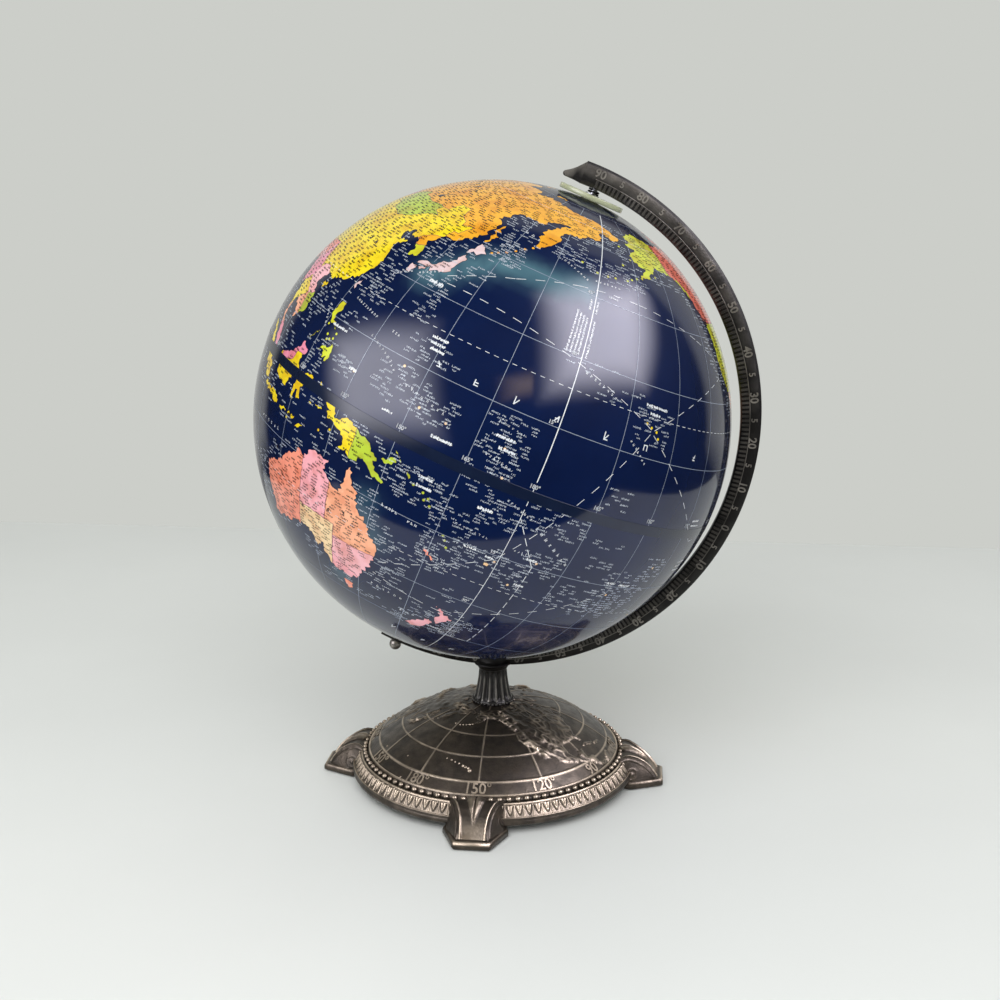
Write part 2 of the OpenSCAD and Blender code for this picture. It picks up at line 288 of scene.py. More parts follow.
# The land's second colour is the first, times these shares of red, green and blue
LAND_SHADE = (0.92, 0.83, 0.78)
LAND_PRINT = {
    letter: finish_of("land_print_" + letter, paint,
                      tuple(c * share for c, share in zip(paint, LAND_SHADE)), scale=95,
                      spread=(0.42, 0.66), **GLOSS)
    for letter, paint in sorted(PAINT.items())
}
INK_WHITE = finish_of("ink_white", (232, 234, 238), (214, 218, 226), scale=300, **GLOSS)
INK_PALE = finish_of("ink_pale", (204, 211, 223), (186, 195, 211), scale=300, **GLOSS)
INK_GREY = finish_of("ink_grey", (154, 164, 182), (136, 146, 166), scale=300, **GLOSS)
INK_DARK = finish_of("ink_dark", (66, 46, 34), (48, 34, 30), scale=300, **GLOSS)
INK_DIAL = finish_of("ink_dial", (182, 186, 156), (170, 174, 142), scale=300, rough=0.6)
INK_BORDER = finish_of("ink_border", (150, 84, 96), (128, 70, 84), scale=300, **GLOSS)
TAPE = finish_of("seam_tape", (10, 23, 49), (15, 28, 54), scale=90, **GLOSS)
PEWTER = finish_of("pewter", (82, 74, 65), (56, 51, 45), scale=130, metal=0.75, rough=0.36, rough_by=0.08,
                   bump=0.5, worn_and_lit=(212, 195, 172))
ARM_METAL = finish_of("arm_metal", (36, 35, 33), (26, 25, 24), scale=110, metal=0.7, rough=0.42,
                      rough_by=0.08, bump=0.45, worn_and_lit=(168, 163, 153))
STEM_METAL = finish_of("stem_metal", (48, 47, 45), (34, 33, 32), scale=120, metal=0.75, rough=0.38,
                       rough_by=0.08, bump=0.4, worn_and_lit=(162, 158, 148))
STEEL = finish_of("steel", (186, 188, 192), (150, 152, 158), scale=200, metal=1.0, rough=0.28)
NUT_METAL = finish_of("nut_metal", (150, 146, 138), (112, 108, 102), scale=260, metal=0.9, rough=0.33)
SPRING_WIRE = finish_of("spring_wire", (34, 33, 34), (20, 20, 22), scale=400, metal=1.0, rough=0.35)
SPACER = finish_of("spacer_plastic", (216, 212, 202), (198, 194, 184), scale=300, rough=0.45)
BOARD = finish_of("pressed_board", (176, 142, 96), (150, 118, 78), scale=300, rough=0.8)
FELT = finish_of("felt", (44, 42, 40), (28, 27, 26), scale=900, rough=0.95, bump=0.8)
DIAL = finish_of("dial_acrylic", (226, 230, 196), (214, 220, 182), scale=20, rough=0.08, clear=0.45,
                 ior=1.49)

# ---------------------------------------------------------------- the map, as lon,lat outlines in degrees

LAND = {
    "eurasia": """26,71 31,70 41,67 33,67 35,64 38,64.5 40,65 44,68.5 44,66 47,67 54,68.5 60,69 61,70
67,69 67,71 69,73 73,72.5 73,68 74,71 78,72.5 81,73.5 87,75 95,76 104,77.7 112,76 107,73.5 113,73.7
127,73.5 130,71 139,72.3 150,71.5 160,70 170,70 176,69.8 180,69 190,66 187,64.5 181,65.5 178,65
179.5,62.4 174,61.8 170,60 166,60 163.5,59.5 162,58 163,56 162,55 160,53 157,51 156,54 155.5,57 160,61
164,62.5 156,61.5 152,59 143,59.3 137.5,54.5 141,53 140,50 140.3,48 136,44 133,42.8 131,43 130,42.3
129.5,41 127.5,39.8 129.3,37 129.2,35.3 126.5,34.5 126.5,37 125,38 125,39.5 121.5,39 121,40.8 118,39
119,37.3 122.4,37.3 119.3,35 121,32.5 122,30.5 121.5,28.5 119.5,25.5 117,23.5 113.5,22 110.5,21.2
110,20.4 109.8,21.5 108,21.6 106.5,20 105.8,18.8 108.5,16 109.3,13 109,11.5 106.8,10.2 104.8,8.6 105,10.3
102.8,11.8 101,12.7 100.5,13.5 99.9,11 99.3,9.3 100.5,7.2 102.2,6.2 103.4,4.5 104.2,1.4 103.4,1.5 101.3,3
100.3,5.8 98.3,8 98.6,11 97.6,16.5 95.3,15.8 94.3,18 92,21.5 90.5,22.5 87,21.4 85,19.6 82.3,16.7
80.2,15.5 80.2,12 79.8,10.3 78,8.1 76.3,10 74.5,14 73,18 72.7,21 70.5,20.8 69,22.3 67,24.8 61.6,25.2
57.3,25.7 56.5,27 52,27.8 50,30 48,30 48.5,28.5 50.3,26 51.5,25 51.8,24 54,24.1 56.3,26 57,24 59.8,22.5
57.5,19 55,17.3 52,15.6 45,12.8 43.4,12.7 42.8,16 40,20.5 38,24 35,28 34.2,27.8 32.6,29.9 32.3,31.2
34.3,31.3 35.8,35 36,36.7 33,36.1 30.5,36.6 27.5,36.7 26.3,39.3 29,41 31.5,41.2 35,42 38,41 41.5,41.5
38.5,44.5 37,45.5 39,47.2 35,46.2 36.5,45.2 33.5,44.5 32.5,46 30.5,46.3 28.7,44 28,42 28.9,41.2 26,40.8
23.8,40.3 23,39 24,38 22.8,36.5 21.3,37.5 19.5,41 18.5,42.5 15,44.5 13.7,45.6 12.3,45.3 12.5,44.2 14,42.5
16,41.5 18.4,40 16.6,38.5 16,38 15.7,40 13,41.2 10.5,43 8.8,44.4 6,43.2 4,43.5 3.2,42.3 0.5,40.7 -0.3,39
-0.7,37.7 -2.2,36.8 -5.5,36 -6.3,36.8 -9,37 -9.4,38.8 -8.8,43.2 -2,43.5 -1.3,44.5 -1.2,46 -4.7,48
-1.5,48.7 -1.5,49.7 1.5,50.5 4,52 5,53.3 8.5,53.8 8.3,57 10.5,57.7 10.8,56 9.8,55 11,54 14,54 18.5,54.7
21,55.3 21.5,57.5 24,57.3 23.5,59.2 28,59.6 30,60 25,60.2 22.5,60.2 21.5,62.5 25,65 22,65.8 17.5,62
17,60.7 18.8,59.8 16.5,57.5 14.5,55.6 13,55.5 11.2,59 10.5,59.3 7.5,58 5.2,60 5,62 10,64 14,67 19,70""",
    "africa": """32.5,31 29,31 25,31.7 20,31 19,30.3 15.5,32 11,33.5 10.5,35 11,37 5,36.8 -2,35.2
-5.5,35.8 -6.5,34 -9.7,31.5 -10,29.5 -13,27.7 -16.5,23 -16.8,19 -16.5,16 -17.4,14.7 -16.5,12.3 -13.5,9
-9,5 -4,5.2 2,6.3 4.5,6.3 6,4.3 9.5,4 9.5,1 9,-1 12,-5.5 13.5,-9 13.7,-12 11.8,-16 12,-18.3 14.5,-22.5
15.2,-27 18.2,-32 18.5,-34.2 20,-34.8 25.5,-34 28,-33 32.5,-28.5 33,-26 35.5,-24 35.2,-20.5 39,-17
40.7,-15 40.4,-10.5 39.3,-7 39.5,-4.5 42,-1 46,2.5 51,10.5 51.3,11.9 44,10.5 43,11.8 41,15 39.5,15.5
37.2,19.5 37.2,21.2 35.5,24 33.5,27.8 32.4,29.8 32.6,31""",
    "america": """-156.5,71.3 -163,69.3 -166.5,68.3 -161.5,66.5 -168,65.6 -161,64.5 -164.5,62.8 -166,61.5
-162,59 -158,58.5 -162,55.5 -163.5,54.8 -158,56 -153.5,59 -151.5,61 -148,60.2 -144,60 -139.5,59.6 -135,58
-130,54.5 -127.5,51.5 -123,49 -124.7,48.3 -124,44 -124.3,40.4 -122.3,37 -120.5,34.5 -117.2,32.7 -115.5,30
-112,25.5 -110,23 -111.3,26 -114.7,31.2 -113,31 -109.3,26 -105.5,22.5 -105.3,20 -101.5,17.5 -96,15.7
-94.5,16.2 -92,14.5 -87.7,13 -85.7,10.5 -83,8.3 -80,7.4 -79,9 -77.5,8.5 -79.5,9.6 -82,9 -83.7,11 -83.3,15
-88.5,15.8 -88,18.3 -87,21.4 -90.5,21 -91.5,18.7 -94.5,18.2 -96,19.3 -97.8,22.5 -97.3,27.5 -94.5,29.5
-90,29.3 -85,29.8 -83,29 -82.7,27.5 -81,25.2 -80.2,27 -81.4,30.5 -78,34 -75.6,35.3 -76,37 -74,40
-70.2,41.8 -70.5,43.5 -66.5,44.7 -65.7,43.6 -60,46 -64.5,46.5 -64.7,48.8 -70,47 -66.5,50.2 -59,51
-55.7,52.3 -57.5,54.5 -61.5,56.5 -64.5,60.3 -69.5,58.8 -70,61 -74,62.3 -78,62.4 -77.5,60 -76.7,57
-79.5,54.5 -79,51.5 -82,53 -82.3,55.2 -88,56.7 -92.5,57 -94.7,58.7 -94,61 -90.5,63.5 -87,64 -85.5,66.3
-81.5,67.5 -81.5,69.5 -85.5,69.7 -88,68 -91,69.5 -92,71.5 -95,72 -96.5,70 -95.5,68.3 -102,67.8 -108,68
-115,68 -115,69.2 -121,69.8 -125,69.5 -128,70.5 -135,69.3 -141,69.6 -149,70.5""",
    "samerica": """-77.3,8.5 -75.5,10.7 -72,12.2 -71.5,11 -68,11.5 -62,10.7 -60,8.5 -57,6 -52,5 -50,1
-48,-1 -44.5,-2.8 -40,-2.9 -35.3,-5.3 -34.8,-8 -38.8,-13 -39,-17.5 -41,-22 -45,-23.5 -48.5,-26
-48.7,-28.5 -52,-33 -54.5,-34.8 -57.5,-34.2 -57,-36.5 -62,-39 -65,-41 -65.3,-45 -67.5,-46.5 -66,-48
-69,-51 -68.3,-52.5 -65.2,-54.7 -69,-55.3 -74.5,-52 -75.5,-47 -73,-42 -73.5,-37.5 -71.5,-32 -70.3,-25
-70.2,-18.5 -76,-14 -79,-8 -81.3,-5 -80,-3 -81,-1 -80,1 -77.5,3.8 -77.4,6.5 -77.9,7.2""",
    "australia": """142.5,-10.7 143.8,-14.5 145.3,-15 146.3,-18.8 149,-20.5 150.8,-23.3 153.1,-25
153.5,-28.5 152.5,-32.5 150.2,-36 149.9,-37.5 146.3,-39 144.5,-38.2 143.5,-38.8 140.5,-38 139.7,-36.5
138,-35.5 138,-33.5 137.8,-33 136,-34.9 135.2,-34.5 134,-32.7 131,-31.5 126,-32.3 123.5,-33.9 120,-33.9
118,-35 115.2,-34.3 115.7,-31.7 114.2,-28.5 113.4,-26 114,-22 117,-20.7 121,-19.5 122.2,-17.2 124.5,-16.2
126.8,-13.8 129,-14.8 130.5,-12.5 132.6,-12 136.7,-12.2 135.5,-14.8 139.2,-17.3 141,-17.5 141.6,-14
141.7,-12.5""",
    "antarctica": """-180,-78 -165,-78 -150,-76 -135,-74 -115,-74 -100,-72.5 -75,-73 -68,-68 -62,-64
-57,-63.3 -61,-67 -62,-72 -62,-75 -75,-79 -50,-79 -35,-78 -25,-75 -12,-71.5 0,-70 20,-70 35,-69 50,-67
58,-67 70,-69 80,-67.5 95,-66 110,-66 125,-66.5 140,-66.7 155,-69 170,-71.5 165,-74 164,-77.5 180,-78
180,-87.8 -180,-87.8""",
}
# Larger islands: first the colour letter, then the outline
ISLANDS = """w -73,78.2 -60,82 -32,83.6 -20,82 -12,81.5 -18,79 -19,76 -22,73 -22,70.5 -32,68 -40,65
-43.5,60 -48,61 -52,64 -53.5,67.5 -51,69.5 -55,71.5 -58,75 -68,76 / r -62,66.5 -66,62.2 -72,64 -78,64.5
-73,67.5 -79,70 -88,70.5 -89,73 -80,73.7 -72,71.3 -61.5,67 / r -105,69 -117,69.5 -117,72.5 -110,73
-105,72.5 -102,69.5 / r -125,71.5 -123,74.3 -116,73.5 -120,71 / r -90,76.5 -80,76.3 -75,79 -62,82.5
-75,83 -92,81.3 -87,79 / r -80,74.7 -92,74.8 -92,76.5 -80,75.8 / r -106,75 -117,75.5 -114,76.5 -106,76 /
r -91,73 -102,72 -102,74 -91,74 / r -88,79 -96,79.5 -95,81 -88,80 / r -59.3,47.8 -53,46.8 -53,48.5
-56,51.5 -57.5,50.5 / r -128,50.7 -123.5,48.5 -125,48.8 / p -84.8,22 -80,23.1 -74.3,20.2 -77.5,19.9
-78.5,21 / g -74.3,18.5 -73,19.9 -68.5,18.6 -71.5,17.9 / l -24,65.5 -22.5,66.4 -16,66.5 -14,65 -18.5,63.4
-22.5,64 / p 11,79.5 20,80.3 26,80 17,76.7 / o 52,71.5 56,71 55.5,73 68,76.7 60,76 53,73 / o 96,79
105,78.5 100,81 95,81 / o 138,75 150,75 145,76 138,76 / s -5.5,50 1,51 1.6,52.7 -0.2,54 -2,57.5 -3.2,58.6
-5.5,58.3 -5.5,56 -3,54 -4.5,53.2 -5,51.8 -3,51.4 / y -10,52 -6.3,52.2 -6,54.5 -8,55.2 -10,54 / s
49.3,-12 50.4,-15.5 49.4,-18.5 47,-25 45.2,-25.5 43.3,-22 44.4,-19.8 44.3,-16.3 47,-15.2 / s 144.8,-40.8
148.2,-40.9 148,-42.8 146.7,-43.6 145.5,-42.6 / y 131,-0.8 132.3,-0.4 133.9,-0.8 134.2,-1.9 134.8,-3.2
135.9,-3 137,-2.1 137.9,-1.6 139.8,-2.4 141.5,-2.8 143.9,-3.5 145.3,-4.4 145.8,-5.4 147.6,-6.1 147.8,-6.7
146.9,-7 147.3,-7.8 148.4,-8.9 149.2,-9.1 150,-9.7 150.8,-10.2 150.4,-10.7 149,-10.3 147.6,-10.1
146.9,-9.3 145.8,-8.4 144.6,-7.7 143.4,-8 143.4,-9 142.4,-9.2 141,-9.1 140,-8 138.9,-8.4 137.8,-8.3
138.8,-7.2 138.1,-5.7 136.8,-4.9 135,-4.4 133.6,-3.9 132.8,-4.1 132,-2.8 133.2,-2.3 132,-2.1 131.2,-1.4 /
g 148.5,-5.7 151.5,-4.2 152,-5 150,-6.3 / g 150.9,-2.6 152.9,-4.2 152.8,-4.7 151.1,-3.1 / g 154.6,-5.4
155.9,-6.5 155.6,-6.9 154.9,-6.2 / s 164,-20.1 167,-22.1 166.4,-22.3 164.1,-20.7 / c 177.3,-17.6
178.6,-17.6 178.3,-18.3 177.4,-18.2 / k 172.8,-34.4 175.3,-36.5 178.5,-37.8 177,-39.5 175.2,-41.6
173.8,-39.3 174.8,-38 / k 172.7,-40.5 174.2,-41.8 172.8,-43.8 170.7,-45.9 168.5,-46.6 166.5,-45.8
168.2,-44 171,-42.3 / h 140.9,41.5 142,39.6 141,38.2 140.8,35.8 139.8,35 138.8,34.7 136.9,34.3 135.7,33.5
135.2,34.6 132.5,34.2 131,34 131,34.5 133,35.5 136,35.7 137,37.2 139,38 140,40 / h 140.2,41.5 141.8,42.6
143.3,42 145.5,43.3 144.3,44 142,45.4 141.4,43.3 140.2,42.5 / h 130,33.5 131.7,33.5 131.3,31.4 130.2,31.2
129.8,32.8 / h 132.2,33.4 134.3,34.3 134.3,33.5 133,32.8 / o 142.5,54.3 143.2,52.5 143,49.5 144.5,49
142.8,46.6 142,46 142,49 142,52 / h 121.8,25.2 121,22 120.1,23 / y 108.7,19.3 110.5,20 111,19.6
109.5,18.2 / l 120.6,18.5 122.2,18.5 122.4,17.2 121.5,15.9 121.7,14.2 122.8,14.1 124.1,12.6 122.6,13.5
121,13.6 120.6,14.5 120,15 119.9,16.3 120.4,16.7 / l 122,7 123.4,8.6 124.8,8.7 125.5,9.8 126.4,8.2
126.4,6.6 125.4,5.7 125.4,6.9 124.1,6.2 123.9,7.6 122.6,7.7 / l 117.2,8.4 119.3,10.8 119.5,10.4 117.6,8.1
/ y 109,1.8 109.6,2 111.3,2.6 113.2,3.3 115,5 116.9,7 119.2,5.2 117.8,4 118,2 119,1 117.5,0 116.5,-2.5
116,-4 114.5,-4 111.8,-3.4 110.2,-2.9 110,-1.4 109,0 / y 95.3,5.6 97.5,5.2 100.5,2.2 103.5,-0.8 106,-3
105.8,-5.8 104.5,-5.8 102.3,-4 100.3,-1 98.7,1.7 / y 105.2,-6.8 106,-5.9 108.5,-6.7 112.6,-6.9 114.5,-7.8
114.4,-8.7 110,-8 106.5,-7.4 / y 119.5,0 120.8,1.3 124.9,1.5 124,0.4 120.3,0.5 121.5,-0.9 123.3,-0.9
121.7,-1.9 122.8,-4.3 121.5,-4.7 121,-2.8 120.3,-3 120.4,-5.5 119.4,-5.4 119.2,-3 119.8,-0.2 / y 116,-8.4
119,-8.3 119,-8.8 116.1,-8.9 / y 119.9,-8.4 122.9,-8.2 122.8,-8.7 120,-8.9 / y 123.6,-10.3 125,-8.9
127.2,-8.3 125.6,-9.3 / y 127.6,2 128.2,1 127.9,-0.6 127.5,0.6 / y 128.1,-2.9 130.7,-3.1 129.5,-3.5 / y
126.1,-3.2 127.1,-3.3 126.6,-3.8 / s 80,9.7 81.8,7.3 80.5,6 79.8,7.8"""
# Small round islands: colour letter, then centres
DOTS = """g 157,-7.5 159.5,-8.2 160.2,-9.6 161,-9 161.8,-10.4 166.8,-15.3 167.5,-16.2 168.4,-17.7 / o
146.5,44.3 148,45.1 150,46.2 152,47.6 154,49.2 156,50.5 / l 125,12 124.8,10.8 122.5,11 123,10 123.8,10.3
121,13 / y 120,-9.7 134.5,-6 131.5,-7.5 -159.5,22 -158,21.4 -156.3,20.8 -155.5,19.5 / l -164.5,54.6
-167,53.7 -169,52.9 -174,52.2 -177,51.8 179,51.6 173,52.8 -153.5,57.4 -170.4,57.2 -171,63.3 -166,60 / c
144.8,13.5 134.5,7.5 151.8,7.4 158.2,6.9 171.2,7.1 173,1.4 179.3,-16.6 -172,-13.7 -175.2,-21.1
-149.5,-17.6 / c -140,-9 -109.4,-27.1 -91,-0.5 -130,-25 165.9,-0.5 -25.5,37.8 -15.5,28.3 -23.5,15.1
57.5,-20.2 55.5,-21.1"""
LAKES = """47,45 51,46.8 53,45 50.5,44 52.5,41.5 54,37.5 49.5,37.5 49.5,40.5 47.5,43 / 58.5,46 61,46.2
61,44.5 59,43.8 / 31.8,0.3 34,-0.3 33,-2.5 31.7,-1.5 / -92,46.8 -88,48.7 -84.8,46.6 / -87.8,42 -86.2,42
-85,45.8 -87.5,45 / -84,45.9 -80,45.5 -81.7,43.2 -83.4,43.8 / -83.2,41.6 -79,42.8 -81,42.7 / -79.5,43.4
-76.2,44 -78,44 / 104,51.5 106,51.8 109.8,55.5 108.5,54.5"""
# Countries and states: colour letter, then the outline.  Later ones paint over earlier ones.
COUNTRIES = """o 28,59 30,62 30,69.5 33,72 60,82 190,82 195,60 160,48 146,43.5 142,46 135,42.5 130.7,42.3
131,45 133,45 135,48.5 131,47.7 130.5,49 127.5,50 126,53 121,53.3 120,52 119.5,49.8 116.5,49.8 114,50.2
108,49.5 102.5,50.5 98,50.5 98,52 92,50.8 87.5,49.2 83,51 80,51 76.5,54.3 71,54 69,55.3 61,54 61,51 55,51
51,51.5 47,50 46.5,48.5 49,46.5 47.5,43 48,41.8 44,42.7 40,43.5 37,45.5 39,47.3 40,49.5 36,50.3 34,52.3
31.5,53 31,55.5 28,56 / p 47,50 51,51.5 55,51 61,51 61,54 69,55.3 71,54 76.5,54.3 80,51 83,51 87.5,49.2
85.5,48 82.5,45.3 80,42.3 75,42.8 70.5,42 68,41 66,43 61,44.5 58.5,45.5 56,45 56,41.3 52.5,41.7 50,44.5
49,46.5 46.5,48.5 / g 87.8,49 92,50.8 98,52 98,50.5 102.5,50.5 108,49.5 114,50.2 116.5,49.8 116,48
118,47.5 120,46.8 116.5,46.3 113.5,44.8 111.5,43.5 109,42.5 105,41.7 101,42.6 96.5,42.8 95,44.3 91,45.2
90.8,47 / y 73.7,39.5 74,40.5 80,42.3 82.5,45.3 85.5,48 87.8,49 90.8,47 91,45.2 95,44.3 96.5,42.8
101,42.6 105,41.7 109,42.5 111.5,43.5 113.5,44.8 116.5,46.3 120,46.8 118,47.5 116,48 116.5,49.8
119.5,49.8 120,52 121,53.3 126,53 127.5,50 130.5,49 131,47.7 135,48.5 133,45 131,45 130.7,42.3 128,42
126.5,41.5 124.3,40 123,37.5 124,32 123,26 119,22 112,17.5 108,17.8 108,21.6 105.5,23 102,22.5 101,21.3
98.8,24 97.5,28.3 92,27.8 88.8,28 86,28 81,30.2 78.7,31.5 79,34.5 76,35.8 / o 124.3,40 126.5,41.5 128,42
130.7,42.3 131,41 128.5,38.5 126.5,37.8 124.5,38 / l 124.5,38 126.5,37.8 128.5,38.5 130.5,37 130,34
125.5,33.5 / r 68,23.7 71,24.5 70,27.8 73,30 74.5,32 74,34.8 77.5,35.5 79,34.5 78.7,31.5 81,30.2
80.2,28.8 84,27.4 88,26.5 88.8,28 92,27.8 97.3,28.2 95,26.5 94,23.5 92,24.5 89.8,25.3 88.3,24.5 89,22
88,15 82,3 76,5 66,20 / p 99,6.6 102.2,6.3 105,3 104.5,1 103,1 100,4.5 / s 110,-10 129,-10 129,-36
110,-36 / k 129,-10 138,-10 138,-26 129,-26 / c 129,-26 141,-26 141,-39 129,-39 / q 138,-9.8 155,-9.8
155,-28.2 151.5,-28.8 149,-29 141,-29 141,-26 138,-26 / n 141,-29 149,-29 151.5,-28.8 155,-28.2 155,-37.5
150,-37.5 148,-36.6 144.5,-36 141,-34 / k 141,-34 144.5,-36 148,-36.6 150,-37.5 150,-39.5 141,-39.5 / l
-141,72 -141,60.3 -137.5,59 -135,59.6 -130,56 -130,54.6 -140,50 -169,50 -168.9,72 / r -141,85 -141,60.3
-137.5,59 -135,59.6 -130,56 -130,54.6 -135,50 -123.2,48.9 -95,49 -89,48 -84.5,46.5 -82.5,45.3 -82.5,42
-79,42.8 -76.5,44.2 -74.7,45 -71.4,45 -69,47.4 -67.8,45.7 -66.8,44.8 -65,43 -50,44 -50,60 -60,75 -60,84 /
l -125,49 -123.2,48.9 -95,49 -89,48 -84.5,46.5 -82.5,45.3 -82.5,42 -79,42.8 -76.5,44.2 -74.7,45 -71.4,45
-69,47.4 -67.8,45.7 -66.8,44.8 -60,40 -79,24 -97.2,25.9 -99.5,27.5 -101.5,29.8 -104.5,29.6 -106.5,31.8
-111,31.3 -114.8,32.5 -117.2,32.5 -128,35 -128,49 / q -97.2,25.9 -99.5,27.5 -101.5,29.8 -104.5,29.6
-106.5,31.8 -111,31.3 -114.8,32.5 -117.2,32.5 -120,25 -100,12 -92.2,14.5 -91,16 -90.5,17.8 -88,18
-86,22.5"""
# Countries that share an island with another
DIVIDED = """p 109.5,2.2 109.8,1 111.5,1 113.5,1.3 115,2 115.8,4.2 118,4.2 120,5 117,8.5 112,5 / g 141,0
156,-1 157,-12 141,-10.5"""
# Other countries, only as middle points: each takes the land that is nearest to it
MIDDLES = {
    "eurasia": """g -4,40 s -8,40 p 2,47 l 10,51 y 13,47.5 c 5,51.5 o 12,43 n 16,45 y 19,52 q 15.5,50 l
19,47 p 21,44 s 25,46 y 25,43 l 22,40 o 27,53.5 y 31,49 p 25,56 l 9.5,61 y 16,62.5 g 26,63 n 33,39 y
38,35 g 44,33 p 37,31 o 45,24 l 54,32 k 48,16 g 57,21 q 54,23.5 y 44,41 n 47,40.5 l 59,39 q 64,41 g
70,38.5 p 74,41.5 c 66,33.5 s 68,28 y 84,28.5 k 90,24 p 96,20 y 101.5,15.5 n 104.5,18 q 105,12.7 g
107.5,13""",
    "africa": """l -6.5,31.5 p 3,28 g 9.5,34 y 18,27 s 29,27 k -13,24.5 g -10.5,20 y -2,17 l 9.5,17.5 p
18.5,15 o 29.5,15 y 39,15.5 l 40,8.5 q 45.5,5 p -14.5,14 s -11,10.5 g -10,7 y -5.5,7.5 p -1.2,8 l 1.5,8 y
7.5,9.5 k 12.5,5 g 20.5,6.5 n 12,0 y 15.5,-1 l 23,-3 s 37.5,0.5 g 32.5,1.5 p 34.5,-6.5 y 17.5,-12.5 o
27.5,-14 l 34.3,-13.5 g 37,-16 p 29.5,-19 y 23.5,-22 s 17,-22.5 l 24,-30""",
    "america": """p -90.3,15.5 y -86.5,14.8 g -85,12.8 s -84,10 l -80.3,8.6""",
    "samerica": """y -73,4 p -66,7.5 l -59,5 s -55.5,4 o -53,4 g -50,-10 g -58,-5 g -45,-8 g -53,-18 s
-78.3,-1.5 l -75,-9.5 y -64.5,-17 n -58.5,-23 p -56,-33 k -65,-32 k -67,-42 k -61,-29 c -71.5,-33 c
-72.5,-42 c -70,-24 c -72.5,-50""",
}
LETTERS = sorted(PAINT)
DEFAULT = {"eurasia": "o", "africa": "y", "america": "r", "samerica": "g", "australia": "s",
           "antarctica": "w"}

# ---------------------------------------------------------------- the map, cut into triangles

# All in degrees: steps of the even net, steps along outlines, and where the map ends under dial and nut
STEP, CUT, LAT_END = 2.5, 0.65, 87.74
# How far outlines stray from their drawn line, as a share of a side's length, counted as 3 degrees at most
COAST_GRAIN, CELL_GRAIN, BORDER_GRAIN = 0.17, 0.09, 0.05
# Radius of a small round island, in degrees
DOT_R = 0.34


def pairs(text):
    """Reads 'x,y x,y ...' as an array of points."""
    return np.array([[float(n) for n in word.split(",")] for word in text.split()])


def lettered(block):
    """Reads shapes that each start with a colour letter and are parted by slashes."""
    return [(part.split()[0], pairs(" ".join(part.split()[1:]))) for part in block.split("/")]


def roughen(points, grain):
    """Cuts an outline's sides short and shakes them, the same way wherever two outlines share a side."""
    out = []
    for a, b in zip(points, np.roll(points, -1, axis=0)):
        first, last = sorted([tuple(a), tuple(b)])
        shrink = max(0.25, math.cos(math.radians((a[1] + b[1]) / 2)))
        length = math.hypot((b[0] - a[0]) * shrink, b[1] - a[1])
        cuts = max(1, math.ceil(length / CUT))
        dice = random.Random(f"{first} {last}")
        t = np.arange(cuts) / cuts
        side = np.array(last) - np.array(first)
        normal = np.array([-side[1] / shrink, side[0] * shrink]) / max(length, 1e-6)
        sway = np.array([0.0] + [dice.uniform(-1, 1) * min(grain * 3, grain * length) for _ in t[1:]])
        line = np.array(first) + np.outer(t, side) + np.outer(sway, normal)
        if tuple(a) != first:
            line = np.vstack([[last], line[:0:-1]])
        out.append(line)
    return np.concatenate(out)


def cut_side(points, axis, limit, keep_above):
    """Cuts a polygon along one line of the map rectangle."""
    out = []
    inside = (points[:, axis] >= limit) if keep_above else (points[:, axis] <= limit)
    for i in range(len(points)):
        p, q = points[i - 1], points[i]
        if inside[i] != inside[i - 1]:
            out.append(p + (q - p) * (limit - p[axis]) / (q[axis] - p[axis]))
        if inside[i]:
            out.append(q)
    return np.array(out)


def on_sheet(points):
    """The parts of a polygon that lie on the map rectangle, wrapped round at 180 degrees."""
    parts = []
    for shift in (-360, 0, 360):
        part = points + [shift, 0]
        for axis, limit, above in ((0, -180, True), (0, 180, False), (1, -LAT_END, True),
                                   (1, LAT_END, False)):
            if len(part):
                part = cut_side(part, axis, limit, above)
        if len(part) > 2:
            x, y = part.T
            signed = x @ np.roll(y, -1) - y @ np.roll(x, -1)
            parts.append(part if signed > 0 else part[::-1])
    return parts


def nearest_cells(block, region):
    """One polygon round each middle point, made of all that lies nearer to it than to the others."""
    words = block.split()
    letters, middles = words[0::2], np.array([[float(n) for n in w.split(",")] for w in words[1::2]])
    squeeze = math.cos(math.radians(middles[:, 1].mean()))
    lowest, highest = region.min(axis=0) - 3, region.max(axis=0) + 3
    for letter, own in zip(letters, middles):
        cell = np.array([lowest, [highest[0], lowest[1]], highest, [lowest[0], highest[1]]])
        for other in middles:
            if tuple(other) == tuple(own):
                continue
            way = (other - own) * [squeeze ** 2, 1]
            limit = way @ (own + other) / 2
            side = cell @ way
            kept = []
            for i in range(len(cell)):
                if (side[i] < limit) != (side[i - 1] < limit):
                    kept.append(cell[i - 1] + (cell[i] - cell[i - 1]) * (limit - side[i - 1])
                                / (side[i] - side[i - 1]))
                if side[i] < limit:
                    kept.append(cell[i])
            cell = np.array(kept)
        yield letter, np.round(cell, 2)


def ring_of_points(middle, radius):
    """A small round island, as an outline."""
    t = circle(9)
    stretch = 1 / math.cos(math.radians(middle[1]))
    return middle + radius * np.stack([np.cos(t) * stretch, np.sin(t)], axis=-1)


def within(outline, x, y):
    """True where points lie inside an outline."""
    found = np.zeros(x.shape, bool)
    lowest, highest = outline.min(axis=0), outline.max(axis=0)
    box = (x >= lowest[0]) & (x <= highest[0]) & (y >= lowest[1]) & (y <= highest[1])
    px, py = x[box], y[box]
    odd = np.zeros(px.shape, bool)
    for (x0, y0), (x1, y1) in zip(outline, np.roll(outline, -1, axis=0)):
        if y0 != y1:
            odd ^= ((y0 > py) != (y1 > py)) & (px < x0 + (x1 - x0) * (py - y0) / (y1 - y0))
    found[box] = odd
    return found


